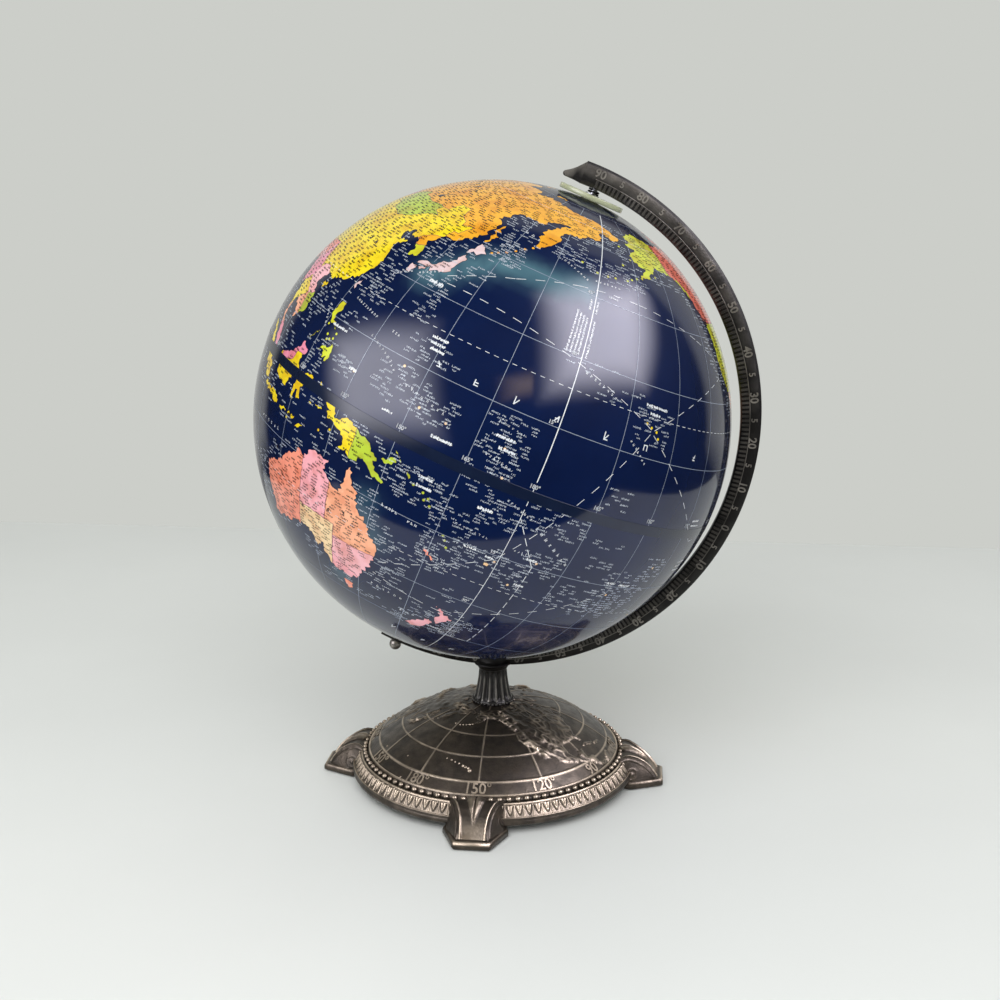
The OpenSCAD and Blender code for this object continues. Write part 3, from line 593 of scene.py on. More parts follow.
def all_shapes():
    """Every outline on the map as (kind, name, colour letter, points)."""
    shapes = []
    for name, text in LAND.items():
        outline = pairs(text)
        shapes.append(("land", name, DEFAULT[name], roughen(outline, COAST_GRAIN)))
        if name in MIDDLES:
            for letter, cell in nearest_cells(MIDDLES[name], outline):
                shapes.append(("cell", name, letter, roughen(cell, CELL_GRAIN)))
    shapes += [("country", "", letter, roughen(outline, BORDER_GRAIN)) for letter,
               outline in lettered(COUNTRIES)]
    shapes += [("island", "island", letter, roughen(outline, COAST_GRAIN)) for letter,
               outline in lettered(ISLANDS)]
    shapes += [("island", "island", letter, ring_of_points(middle, DOT_R))
               for letter, middles in lettered(DOTS) for middle in middles]
    shapes += [("divided", "", letter, roughen(outline, BORDER_GRAIN)) for letter,
               outline in lettered(DIVIDED)]
    shapes += [("lake", "", "", roughen(pairs(text), COAST_GRAIN)) for text in LAKES.split("/")]
    return shapes


def sheet_points():
    """Points spread evenly over the ball, as longitude and latitude."""
    points = []
    for row, lat in enumerate(np.arange(-85, 86, STEP)):
        count = max(12, round(360 * math.cos(math.radians(lat)) / STEP))
        lons = -180 + (np.arange(count) + (row % 2) / 2 + 0.25) * 360 / count
        points.extend((lon, lat) for lon in lons)
    return points


def build_map():
    """Cuts the map into triangles along every outline; gives points, triangles and their colour letters."""
    shapes = all_shapes()
    verts = sheet_points()
    lons, lats = np.arange(-180, 180, STEP), np.linspace(-LAT_END, LAT_END, 71)[:-1]
    frame_line = [(lon, -LAT_END) for lon in lons] + [(180, lat) for lat in lats]
    frame_line += [(-lon, LAT_END) for lon in lons] + [(-180, -lat) for lat in lats]
    faces = []
    for outline in [frame_line] + [part for shape in shapes for part in on_sheet(shape[3])]:
        faces.append(list(range(len(verts), len(verts) + len(outline))))
        verts.extend(map(tuple, outline))
    points, _, triangles, _, _, _ = delaunay_2d_cdt([Vector(v) for v in verts], [], faces, 0, 1e-4)
    points = np.array([p[:] for p in points])
    middles = points[np.array(triangles)].mean(axis=1)
    return points, [tuple(t) for t in triangles], paint_letters(shapes, middles)


def paint_letters(shapes, middles):
    """Colour letter of each place on the map, or "" at sea; later shapes paint over earlier ones."""
    x, y = middles.T
    letter, region = np.full(len(x), "", "<U1"), np.full(len(x), "", "<U10")
    for kind, name, colour, outline in shapes:
        for part in on_sheet(outline):
            hit = within(part, x, y)
            if kind == "cell":
                hit &= region == name
            elif kind == "country":
                hit &= (region != "") & (region != "island")
            elif kind == "divided":
                hit &= (region == "island") & (letter == "y")
            elif kind != "lake":
                region[hit] = name
            letter[hit] = colour
    return letter


# ---------------------------------------------------------------- ball skin

points, triangles, letters = build_map()
# Middles of pale spots in the sea east of Asia and, weaker, beside Australia
PALE_SEA_MIDDLES = pairs("""136,33 140,35.5 144,39 148,41.5 152,43 156,43.8 160,44 164,44 168,44.4 172,45.2
176,46 146,-18 149,-21 152,-24 148,-16 144,-40""")
SPOT_R, NORTH_SPOT, SOUTH_SPOT = 0.0078, 0.66, 0.26
xyz = on_ball(points[:, 0], points[:, 1])
water = on_ball(PALE_SEA_MIDDLES[:, 0], PALE_SEA_MIDDLES[:, 1])
gap_squared = ((xyz[:, None, :] - water[None]) ** 2).sum(axis=2)
strength = np.where(PALE_SEA_MIDDLES[:, 1] > 0, NORTH_SPOT, SOUTH_SPOT)
sea_paling = (strength * np.exp(-gap_squared / SPOT_R ** 2)).max(axis=1)
skin_ids = [1 + LETTERS.index(c) if c else 0 for c in letters]
skin = new_object("ball_skin", xyz, triangles, [OCEAN] + [LAND_PRINT[c] for c in LETTERS], ids=skin_ids,
                  wear=sea_paling, body="globe", replaces=("north_hemisphere", "south_hemisphere"),
                  slot="ball_skin")
skin.data.normals_split_custom_set_from_vertices(((xyz - CENTRE) / BALL_R).tolist())

# Heights of printed lines above the skin, in mm
BORDER_LIFT, GRID_LIFT, WHITE_LIFT = 0.03, 0.06, 0.07


def strip(soup, lon, lat, width):
    """A flat white line of that width, in mm, along points on the ball."""
    path = on_ball(lon, lat, WHITE_LIFT * MM)
    ahead = np.gradient(path, axis=0)
    up = (path - CENTRE) / np.linalg.norm(path - CENTRE, axis=1)[:, None]
    side = np.cross(ahead, up)
    side *= width / 2 * MM / np.linalg.norm(side, axis=1)[:, None]
    soup.grid(np.stack([path - side, path + side], axis=1))


def pieces_of_line(soup, a, b, width, lift):
    """Many short printed lines at once, each from a place in a to the same row's place in b."""
    a, b = on_ball(*a.T, lift * MM), on_ball(*b.T, lift * MM)
    side = np.cross(b - a, a - CENTRE)
    side *= width / 2 * MM / np.maximum(np.linalg.norm(side, axis=1), 1e-12)[:, None]
    corners = np.stack([a - side, b - side, b + side, a + side], axis=1)
    soup.add(corners, (np.arange(len(a))[:, None] * 4 + [0, 3, 2, 1]).tolist())


def dashes(soup, start, stop, dash, gap, width):
    """A broken white line along the shortest way between two places; dash and gap in mm."""
    a, b = (on_ball(*p) - CENTRE for p in (start, stop))
    whole = math.acos(np.clip(a @ b / (BALL_R * BALL_R), -1, 1))
    total = whole * BALL_R / MM
    for i in range(int(total / (dash + gap)) + 1):
        part = np.linspace(i * (dash + gap), min(total, i * (dash + gap) + dash), 4) / total
        way = np.outer(np.sin((1 - part) * whole), a) + np.outer(np.sin(part * whole), b)
        strip(soup, *lon_lat_of(way), width)


def lon_lat_of(way):
    """Longitude and latitude, in degrees, of directions from the ball's centre."""
    way = way / np.linalg.norm(way, axis=1)[:, None]
    lat = np.degrees(np.arcsin(np.clip(way @ AXIS, -1, 1)))
    return ARM_LON + np.degrees(np.arctan2(way @ ACROSS, way @ OUTWARD)), lat


# Borders and coasts: the triangle sides where the colour changes
sides = {}
for triangle, letter in zip(triangles, letters):
    for i in range(3):
        sides.setdefault(tuple(sorted((triangle[i], triangle[i - 1]))), []).append(letter)
changes = [(i, j, "" in colours) for (i, j), colours in sides.items() if len(set(colours)) == 2]
border_lines, coast_lines = Soup(), Soup()
for soup, at_sea, width in ((border_lines, False, 0.32), (coast_lines, True, 0.22)):
    ends = np.array([(i, j) for i, j, wet in changes if wet == at_sea])
    pieces_of_line(soup, points[ends[:, 0]], points[ends[:, 1]], width, BORDER_LIFT)
border_lines.make("borders", INK_BORDER, body="globe", slot="ball_skin")
coast_lines.make("coast_lines", INK_DARK, body="globe", slot="ball_skin")

# Land and sea as a net of NET points to a degree, to ask quickly what lies where
NET = 4
net_lon, net_lat = np.meshgrid(np.arange(360 * NET) / NET - 180, np.arange(180 * NET) / NET - 90)
land_net = np.zeros(net_lon.shape, bool)
for outline in [pairs(text) for text in LAND.values()] + [outline for _, outline in lettered(ISLANDS)]:
    for part in on_sheet(outline):
        land_net |= within(part, net_lon, net_lat)


def on_land(lon, lat):
    """True where places lie on land."""
    col = np.rint((np.asarray(lon, float) + 180) * NET).astype(int) % (360 * NET)
    row = np.clip(np.rint((np.asarray(lat, float) + 90) * NET).astype(int), 0, 180 * NET - 1)
    return land_net[row, col]


def grid_line(lon, lat, width):
    """A thin printed line that stops at every coast."""
    at_sea = ~on_land((lon[1:] + lon[:-1]) / 2, (lat[1:] + lat[:-1]) / 2)
    ends = np.column_stack([lon, lat])
    pieces_of_line(grid_lines, ends[:-1][at_sea], ends[1:][at_sea], width, GRID_LIFT)


grid_lines, white_lines = Soup(), Soup()
# Meridians and parallels, with the 180 degree meridian in white
for lon in range(-180, 180, 15):
    top = 85 if lon % 90 == 0 else 75
    steps = np.arange(-top, top + 0.1, 1.0)
    if lon != -180:
        grid_line(np.full(len(steps), float(lon)), steps, 0.3)
around = np.arange(-180, 180.1, 1.25)
for lat in (-75, -60, -45, -30, -15, 15, 30, 45, 60, 75):
    grid_line(around, np.full(len(around), float(lat)), 0.32)
for first, last in ((-75, -3), (3.2, 75)):
    steps = np.linspace(first, last, 30)
    strip(white_lines, np.full(30, 180), steps, 0.55 if first > 0 else 0.35)
# Tropics and polar circles as broken lines, which run and rest for so many degrees
for lat in (23.45, -23.45, 66.5, -66.5):
    run, rest = (1.1, 1.1) if abs(lat) < 30 else (0.9, 0.5)
    count = int(360 / (run + rest))
    for k in range(count):
        lon = np.linspace(0, run, 3) + k * 360 / count
        strip(white_lines, lon, np.full(3, lat), 0.3)
# Sea routes: both ends of each leg
ROUTES = """141,34.5 157,41 / 157,41 174,46 / 174,46 -165,47.4 / -165,47.4 -139,43.6 / -139,43.6 -126,39
/ -157,21 -123,37 / -158,20 179,-16 / 179,-16 153,-30 / -158,21 142,33 / -157,20 -130,-2 / -130,-2 -82,7
/ 174,-36 154,-33 / -150,-17 176,-35 / -6,49 -72,41 / -6,48 -62,17 / -18,16 -36,-8 / 16,-34 46,-22 /
46,-22 76,4 / 58,20 70,18 / 114,-32 82,5"""
for leg in ROUTES.split("/"):
    dashes(white_lines, *pairs(leg), 5.4, 5.2, 0.35)
DATE_LINE = pairs("180,-60 180,-45 -172.5,-45 -172.5,-15 180,-5 180,3")
for a, b in zip(DATE_LINE, DATE_LINE[1:]):
    dashes(white_lines, a, b, 5.0, 2.6, 0.4)
grid_lines.make("graticule", INK_GREY, body="globe", slot="ball_skin")

# ---------------------------------------------------------------- words, as marks that spell nothing

# Ends of the bars that letter-like marks are made of, for marks of height 1
BARS = np.array([
    ((0.5, 0.0), (0.5, 0.72)), ((0.0, 0.68), (0.5, 0.68)), ((0.0, 0.07), (0.52, 0.07)),
    ((0.5, 0.04), (0.02, 0.7)), ((0.0, 0.0), (0.0, 0.74)), ((0.0, 0.02), (0.5, 0.72)),
    ((0.0, 0.0), (0.0, 1.0)), ((0.02, 0.4), (0.48, 0.4)),
])
# Step between marks as a share of their height, height of small marks in mm, mm of skin per degree, and
# degrees between rows
PITCH, SMALL, MM_ON_BALL, ROW_STEP = 0.72, 1.15, 2.66, 0.68
dice = random.Random(11)
pick = np.random.default_rng(11)


def tangent_at(lon, lat):
    """A place on the ball seen from its centre, with the directions of east and north there."""
    place = on_ball(lon, lat) - CENTRE
    up = place / BALL_R
    east = np.cross(AXIS, up)
    east /= np.linalg.norm(east)
    return place, east, np.cross(up, east)


def pressed(flat, lift):
    """Points near the ball, seen from its centre, moved to so many mm above its skin."""
    return flat * ((BALL_R + lift * MM) / np.linalg.norm(flat, axis=1))[:, None] + CENTRE


def marks(soup, lon, lat, count, height, pitch=PITCH, thick=0.2, lift=0.09, turn=0.0):
    """A row of letter-like marks from a place on the ball; heights in mm, turn in degrees from east."""
    place, east, north = tangent_at(lon, lat)
    c, s = math.cos(math.radians(turn)), math.sin(math.radians(turn))
    along, rise = c * east + s * north, c * north - s * east
    strokes = 3 if height > 1.5 else 2
    chosen = np.argsort(pick.random((count, len(BARS))), axis=1)[:, :strokes]
    ends = BARS[chosen].reshape(-1, 2, 2) * height
    ends[:, :, 0] += np.repeat(np.arange(count) * pitch * height, strokes)[:, None]
    way = ends[:, 1] - ends[:, 0]
    side = np.stack([-way[:, 1], way[:, 0]], axis=1) * thick * height / 2
    side /= np.linalg.norm(way, axis=1)[:, None]
    corners = np.stack([ends[:, 0] - side, ends[:, 1] - side, ends[:, 1] + side, ends[:, 0] + side], axis=1)
    x, y = corners.reshape(-1, 2).T
    flat = place + (np.outer(x, along) + np.outer(y, rise)) * MM
    soup.add(pressed(flat, lift), (np.arange(count * strokes)[:, None] * 4 + [0, 3, 2, 1]).tolist())


def wet_word(lon, lat, length):
    """True where a word of that length, in degrees, lies on the sea from end to end."""
    return not on_land(np.linspace(lon - length / 2, lon + length / 2, 4), np.full(4, lat + 0.2)).any()


def words_in(soup, lon, lat, wide, tall, count):
    """Short words scattered over an area of that many degrees, in rows so that they never overlap."""
    rows = {}
    for _ in range(count * 3):
        if not count:
            break
        y = round((lat + dice.uniform(-tall, tall) * 0.5) / ROW_STEP) * ROW_STEP
        stretch = math.cos(math.radians(y))
        x = lon + dice.uniform(-wide, wide) * 0.5
        letters_in = dice.randint(3, 8)
        length = (letters_in + 1.5) * PITCH * SMALL / (MM_ON_BALL * stretch)
        if any(abs(x - other) < (length + size) / 2 for other, size in rows.get(y, [])):
            continue
        if not wet_word(x, y, length):
            continue
        rows.setdefault(y, []).append((x, length))
        marks(soup, x - length / 2, y, letters_in, SMALL, thick=0.17)
        count -= 1


def cells_of(step):
    """Seeded places for words all over the ball, about a step of that many degrees apart."""
    places = []
    for lat in np.arange(-57, 76, 0.72):
        squeeze = math.cos(math.radians(lat))
        lon = -180 + dice.uniform(0, step)
        while lon < 180:
            places.append((lon, lat))
            lon += step / squeeze * dice.uniform(0.75, 1.5)
    return np.array(places)


white_words, pale_words, dark_words = Soup(), Soup(), Soup()
# Dark words on land, pale words on the sea beside the coasts: degrees between words, and to a word's end
WORD_STEP, WORD_END = 2.9, 2.1
places = cells_of(WORD_STEP)
shrink = np.cos(np.radians(places[:, 1]))
start_dry = on_land(places[:, 0] - 0.2, places[:, 1] + 0.2)
end_dry = on_land(places[:, 0] + WORD_END / shrink, places[:, 1] + 0.2)
for (lon, lat), a, b in zip(places, start_dry, end_dry):
    if a and b and abs(lat) < 72:
        marks(dark_words, lon, lat, dice.randint(4, 6), SMALL, thick=0.24)
sea = ~start_dry & ~end_dry
beside = np.zeros(len(places), bool)
for reach in (3.0, -2.6, 5.2, -4.6, 7.2, -6.4):
    beside |= on_land(places[:, 0] + reach / shrink, places[:, 1])
for reach in (1.6, -1.6):
    beside |= on_land(places[:, 0] + 1.0, places[:, 1] + reach)
for (lon, lat), wet, close in zip(places, sea, beside):
    if wet and close and abs(lat) < 70 and dice.random() < 0.88:
        marks(pale_words, lon, lat, dice.randint(4, 8), 1.02, thick=0.2)
# Island groups far from the coasts: longitude, latitude, width, height, number of words
GROUPS = """147,9 14,7 34 / 155,8 10,6 20 / 146,16 5,9 16 / 171,9 10,9 44 / 173,2 6,6 18 / 171,-1 9,6 20
/ 160,-8 12,8 40 / 168,-15 10,12 46 / 178,-17 10,7 26 / -171,-14 10,6 26 / -174,-20 6,6 14 / -172,-4 14,6
34 / -158,-10 8,12 16 / -159,-20 12,6 20 / -146,-17 16,12 74 / -150,-23 12,5 20 / -139,-9 8,5 16 /
-157,21 10,7 22 / -165,25 16,5 10 / 142,27 6,9 20 / 153,18 8,4 6 / 133,7 6,4 8 / 176,-6 8,6 20 / 166,-22
8,6 22 / 175,-31 10,6 8 / 176,-41 10,6 18 / 168,-44 8,6 14 / 160,-32 10,6 6 / -172,53 24,5 34 / 171,53
12,4 14 / 151,46 10,6 26 / -176,29 20,4 8 / -160,5 6,5 8 / 128,24 8,5 18 / -130,-25 14,6 10 / -109,-27
8,4 6 / -91,-1 8,5 10 / -28,38 12,5 12 / -16,29 8,5 10 / -24,16 8,5 10 / -15,-10 8,5 5 / -65,16 12,10 40
/ 57,-20 8,6 10 / 55,-6 8,8 12 / 73,3 5,8 12 / 72,-8 5,5 5 / 40,-47 8,4 4 / 70,-49 8,4 5 / -60,-52 8,4 8
/ -37,-54 8,4 4"""
for group in GROUPS.split("/"):
    (lon, lat), (wide, tall), count = [[float(n) for n in w.split(",")] for w in group.split()]
    words_in(pale_words, lon, lat, wide, tall, int(count[0]))
# Bold names: longitude, latitude, letters, height
BOLD = """138,31.6 5 2.4 / 147,21.4 8 1.7 / 147.4,20.2 7 1.7 / 147.9,19 7 1.7 / 122.5,13.4 11 1.6 /
156.5,3.2 10 1.7 / 168.6,8.8 8 1.8 / 170,6.6 7 1.8 / 157.3,-5.4 7 1.7 / 157.6,-7.4 7 1.7 / 171,-6.4 6 1.9
/ 171.5,-15.6 7 1.5 / 177,-16.2 4 1.5 / -174.5,-13.6 5 1.7 / -174,-20.6 5 1.6 / -160.5,25.6 13 1.6 /
-159,24 6 1.6 / -152,-14.4 6 1.5 / -148,-14.6 9 1.5 / 133,7.4 5 1.6 / 173,-43.6 8 1.5 / -176,46.3 7 1.1 /
144.5,3.6 6 1.5 / -133,3 9 1.4 / -133,1.8 11 1.4 / -128,-8 10 1.4 / -128,-9.2 9 1.4 / -128,-10.4 11 1.4"""
for entry in BOLD.split("/"):
    place, count, height = entry.split()
    marks(white_words, *pairs(place)[0], int(count), float(height), pitch=0.76, thick=0.34)
# Wide-set names of seas: longitude, latitude, letters, height, spacing, turn
SPREAD_OUT = """151,16.4 1 4.6 1 0 / 160,16.2 1 4.6 1 0 / 169.2,16 1 4.6 1 0 / 178.4,16 1 4.6 1 0 /
-169.6,16 1 4.6 1 0 / -159,16.4 1 4.6 1 0 / -142,16.8 1 4.6 1 0 / 163,-53 1 4.6 1 0 / 175,-54 1 4.6 1 0 /
-173,-54 1 4.6 1 0 / 124,20.6 10 1.7 1.35 -8 / 138,18.4 3 1.7 1.35 -8 / 134,15.6 8 1.5 1.9 -20 / 140,13.2
4 1.5 1.9 -30 / 147,10 8 1.7 2.2 -10 / 168,11.8 6 1.4 1.9 -10 / 152,-15.2 5 2.1 1.05 -4 / 158.6,-16 3 2.1
1.05 -4 / 154,-37 6 1.8 2.1 -8 / 164,-42 3 1.8 2.1 0 / 168,4.6 7 1.7 1.5 -12 / 167,51 8 1.6 1.5 -22 /
179,48.9 7 1.6 1.5 8 / -178,27.5 8 1.8 1.7 -18 / -163,17.5 7 1.7 1.6 -38 / 168,-11.4 9 1.5 1.6 -6 /
176,-2.6 8 1.6 1.5 -20 / -176,-6.2 8 2.1 2.1 -32 / 164,-20 9 1.5 1.6 -22 / -178,-12.6 5 1.5 1.6 0 /
128,29 6 1.6 1.4 38 / 134,32 7 1.6 1.4 34 / 150,54 3 2.2 2.0 -10 / -40,30 8 4 3.4 0 / -30,-20 8 4 3.4 0 /
66,-16 6 4 3.4 0 / -120,-20 5 4.6 4 0 / 118,15.4 5 1.7 1.5 -60 / 108,-14 6 2.2 2.2 0 / 60,14 7 2 1.6 0 /
86,12 5 2 1.6 0 / -92,25 4 2.4 2.2 0 / -76,15 7 1.8 1.7 0"""
for entry in SPREAD_OUT.split("/"):
    place, count, height, spacing, turn = entry.split()
    marks(white_words, *pairs(place)[0], int(count), float(height), pitch=float(spacing), thick=0.13,
          turn=float(turn))
# Notes set along the 180 degree meridian, with marks of that height
NOTE = 1.25
for lon, bottom, top in ((176, 30.6, 41), (177, 30.6, 40.4), (178, 30.6, 39.8), (179, 30.6, 39.4),
                         (181.2, 30.6, 39.4), (179.1, 41.4, 44.2), (181.1, 41, 44.2)):
    marks(white_words, lon, bottom, int((top - bottom) * MM_ON_BALL / (PITCH * NOTE)), NOTE, thick=0.26,
          turn=90)
# Letters over the big land areas
BIG_NAMES = """118,-18 1 3 / 121,-23 1 3 / 125,-26.6 1 3 / 130,-27 1 3 / 133.6,-21 1 3 / 138.6,-23.5 1 3
/ 143,-22 1 3 / 148,-25.4 1 3 / 96,34 5 4 / 75,64 6 4 / -112,42 8 4 / -118,56 6 4 / -62,-9 6 3.6 / 2,21 6
4 / 20,2 6 4"""
for entry in BIG_NAMES.split("/"):
    place, count, height = entry.split()
    marks(dark_words, *pairs(place)[0], int(count), float(height), pitch=2.4, thick=0.16, lift=0.1)


def figures(soup, text, lon, lat, height):
    """Flat printed figures that start at a place on the ball."""
    verts, faces = number_mesh(text, height * MM, 0, bold=0.03)
    place, east, north = tangent_at(lon, lat)
    soup.add(pressed(place + np.outer(verts[:, 0], east) + np.outer(verts[:, 1], north), 0.1), faces)


# Degree numbers beside the equator and on the 180 degree meridian
for lon in range(-165, 181, 15):
    if lon:
        figures(white_words, f"{abs(lon)}°", lon, 1.75, 2.3)
for lat in (15, 30, 45, 60, -15, -30, -45):
    figures(white_words, f"{abs(lat)}°", 178.2, lat + 0.3, 2.1)
pale_words.make("small_names_at_sea", INK_PALE, body="globe", slot="ball_skin", smooth=False)
white_words.make("names_at_sea", INK_WHITE, body="globe", slot="ball_skin", smooth=False)
white_lines.make("routes", INK_WHITE, body="globe", slot="ball_skin", smooth=False)
dark_words.make("names_on_land", INK_DARK, body="globe", slot="ball_skin", smooth=False)

# ---------------------------------------------------------------- seam tape, dial and small turned parts

tape = Soup()
TAPE_HALF, TAPE_LIFT = math.degrees(3.0 / (BALL_R / MM)), 0.12
lons = np.linspace(-180, 180, 289)[:-1]
for rows, lifts in ((np.linspace(-TAPE_HALF, TAPE_HALF, 5), [TAPE_LIFT] * 5),
                    ((-TAPE_HALF - 0.03, -TAPE_HALF), (0, TAPE_LIFT)),
                    ((TAPE_HALF, TAPE_HALF + 0.03), (TAPE_LIFT, 0))):
    tape.grid(np.array([on_ball(lons, lat, lift * MM) for lat, lift in zip(rows, lifts)]), wrap_cols=True)
tape.make("tape_band", TAPE, body="globe", replaces=("equator_tape",), slot="seam_tape")


def span_of(node):
    """Lowest and highest place along the axis and widest radius of a CAD node, in mm from the centre."""
    verts = np.array([v.co[:] for v in frame["nodes"][node].data.vertices]) - CENTRE
    along = verts @ AXIS
    out = np.linalg.norm(verts - np.outer(along, AXIS), axis=1)
    return along.min() / MM, along.max() / MM, out.max() / MM


dial_low, dial_high, dial_r = span_of("time_dial")
# Radius of the bore and of the rounded edges, height of the print above the dial, where its figures start
BORE, SOFT, PRINT_LIFT, FIGURES_R = 2.07, 0.35, 0.03, 16.5
profile = [(BORE, dial_low), (BORE, dial_high - SOFT), (BORE + SOFT, dial_high)]
# A shallow groove near the edge, then the rounded edge itself
profile += [(dial_r - inset, dial_high - drop) for inset, drop in
            ((2.6, 0), (2.2, 0.25), (1.0, 0.25), (0.7, 0), (SOFT, 0), (0.1, 0.1), (0, SOFT))]
profile += [(dial_r, dial_low + SOFT), (dial_r - SOFT, dial_low), (BORE, dial_low)]
disc = Soup()
disc.grid(axis_ring(profile, 128), wrap_cols=True, flip=True)
disc.make("dial_disc", DIAL, body="dial", replaces=("time_dial",), slot="dial_plastic")
print_on_dial = Soup()


def print_at(turn, r, w, faces):
    """Adds flat print on the dial, turned about the axis; r and w in mm."""
    u, w = r * math.cos(turn) - w * math.sin(turn), r * math.sin(turn) + w * math.cos(turn)
    print_on_dial.add(in_axis_frame(u * MM, (dial_high + PRINT_LIFT) * MM, w * MM), faces)


for hour in range(1, 25):
    verts, faces = number_mesh(str((hour - 1) % 12 + 1), 2.6, 0)
    print_at(math.radians(hour * 15), FIGURES_R - verts[:, 1], verts[:, 0], [f[::-1] for f in faces])
TICK_ENDS, TICK_SIDES = np.array([12.2, 13.2, 13.2, 12.2]), np.array([-0.12, -0.12, 0.12, 0.12])
for tick in range(24):
    print_at(math.radians(tick * 15), TICK_ENDS, TICK_SIDES, [(0, 3, 2, 1)])
print_on_dial.make("dial_print", INK_DIAL, body="dial", slot="dial_plastic", smooth=False)

spring_low, spring_high, spring_out = span_of("axis_spring")
# Radius of the wire, in mm, and turns of the coil
WIRE, TURNS = 0.55, 1.7
coil = Soup()
t = np.linspace(0, 1, 120)
angle = 2 * math.pi * TURNS * t
rise = spring_low + WIRE + (spring_high - spring_low - 2 * WIRE) * np.clip((t - 0.12) / 0.76, 0, 1)
around_wire = circle(12)
r = (spring_out - WIRE) + WIRE * np.cos(around_wire)[None, :]
coil.grid(in_axis_frame(r * np.cos(angle)[:, None] * MM,
                        (rise[:, None] + WIRE * np.sin(around_wire)[None, :]) * MM,
                        r * np.sin(angle)[:, None] * MM), wrap_cols=True)
coil.make("spring_coil", SPRING_WIRE, body="stand", replaces=("axis_spring",), slot="spring_wire")

nut_low, nut_high, nut_r = span_of("ball_nut")
nut = Soup()
middle = nut_low + nut_r
top_angle = math.degrees(math.asin(min(1, (nut_high - middle) / nut_r)))
nut.grid(axis_ring([(1.2, nut_low + 0.18)] + arc((0, middle), nut_r, -78, top_angle, 22), 48),
         wrap_cols=True, flip=True)
nut.grid(axis_ring([(0.01, nut_low + 0.5), (1.2, nut_low + 0.18)], 48), wrap_cols=True, flip=True)
nut.make("ball_nut_turned", NUT_METAL, body="stand", replaces=("ball_nut",), slot="nut_metal")

# ---------------------------------------------------------------- meridian arm

# The arm is bounded by two circles, each with its middle a little above the ball's, all in mm
INNER_R, INNER_UP = 157.0, 2.6
OUTER_R, OUTER_UP = 169.0, 4.8
# Half thickness, the angles where the arm ends, and the radius of the ridge beside the scale
HALF_T = 4.0
NORTH_END, SOUTH_END = 90 + 3.46, -90 - 4.0
RIDGE_R = 162.8


def arm_edges(phi):
    """Inner and outer edge of the arm at angles from the equator, in mm in the axis frame."""
    a = np.radians(phi)
    way = np.stack([np.cos(a), np.sin(a)], axis=-1)

    def out_to(radius, up):
        rise = up * way[..., 1]
        return rise + np.sqrt(radius ** 2 - up ** 2 + rise ** 2)
    return way, out_to(INNER_R, INNER_UP), out_to(OUTER_R, OUTER_UP)


def in_arm(u, v, w):
    """Points of the arm from mm in the axis frame."""
    return in_axis_frame(np.asarray(u) * MM, np.asarray(v) * MM, np.asarray(w) * MM)


arm = Soup()
phi = np.linspace(NORTH_END, SOUTH_END, 361)
way, inner, outer = arm_edges(phi)
# Section of the arm: share of the depth, offset in mm from that share, distance across, wear
SECTION = [(0, 0.0, 3.1, 0.25), (0, 0.5, 3.95, 0.12), (0, 4.0, 4.0, 0.05), (1, -6.0, 4.0, 0.12),
           (1, -1.5, 4.0, 0.12), (1, -1.2, 3.7, 0.0), (1, -0.5, 3.5, 0.0), (1, 0.0, 2.9, 0.1)]
section = SECTION + [(s, o, -w, k) for s, o, w, k in reversed(SECTION)]
net = []
for share, offset, across, _ in section:
    r = inner + (outer - inner) * share + offset
    net.append(in_arm(way[:, 0] * r, way[:, 1] * r, across))
net = np.array(net)
# Painted light: above 15 degrees north the section's wear is raised, up to 2.3 times at the top, so the
# upper arm looks more lit
arm_wear_and_light = np.array([k for *_, k in section])[:, None] * (1 + 1.3 * np.clip((phi - 15) / 60, 0, 1))[None, :]
arm.grid(net, wear=arm_wear_and_light, wrap_rows=True, flip=True)
for end in (0, -1):
    arm.add(net[:, end], [tuple(range(len(section)))[:: 1 if end else -1]], 0.4)

# Nose over the dial: its outline goes on from the arm's end, with rounded edges on both sides
end_in, end_out = way[0] * inner[0], way[0] * outer[0]
peak = (-10.2, OUTER_UP + math.sqrt(OUTER_R ** 2 - 10.2 ** 2))
under = INNER_R + INNER_UP
outline = [tuple(end_in + way[0] * 0.02), tuple(end_out - way[0] * 0.02), peak, (-13.0, 170.2),
           (-15.4, 167.5), (-18.2, 165.0), (-20.6, 163.4)]
outline += arc((-20.2, under + 1.9), 1.8, 115, 262, 8)
outline += [(-14.0, under + 0.1)]
outline = np.array(outline)
middle = outline.mean(axis=0)
fixed = np.arange(len(outline)) < 2
rings = []
for across, shrink in ((-2.9, 0.0), (-3.96, 0.9), (3.96, 0.9), (2.9, 0.0)):
    pull = (middle - outline) / np.linalg.norm(middle - outline, axis=1)[:, None] * shrink
    pull[fixed] = 0
    ring = outline + pull
    rings.append(in_arm(ring[:, 0], ring[:, 1], across))
# The nose's tip and top edge are painted lighter: rubbed edges plus painted highlight
nose_wear_and_highlight = np.where(outline[:, 0] < -15, 0.6, np.where(outline[:, 1] > 165, 0.42, 0.12))
for k in range(3):
    arm.grid(np.array([rings[k], rings[k + 1]]), wear=nose_wear_and_highlight, wrap_cols=True)
for ring, side in ((rings[1], -1), (rings[2], 1)):
    arm.add(ring, [tuple(range(len(outline)))[::-side]], nose_wear_and_highlight)


def raised(soup, corners, face, height, wear):
    """A small raised block on one face (+1 or -1) of the arm: corners (u, v) counted round."""
    corners = np.asarray(corners)
    centre = corners.mean(axis=0)
    top = centre + (corners - centre) * 0.86
    base = in_arm(corners[:, 0], corners[:, 1], face * (HALF_T - 0.05))
    cap = in_arm(top[:, 0], top[:, 1], face * (HALF_T + height))
    count = len(corners)
    faces = [tuple(range(count, 2 * count))[::-face]]
    faces += [(i, (i + 1) % count, (i + 1) % count + count, i + count)[::-face] for i in range(count)]
    soup.add(np.vstack([base, cap]), faces, wear)


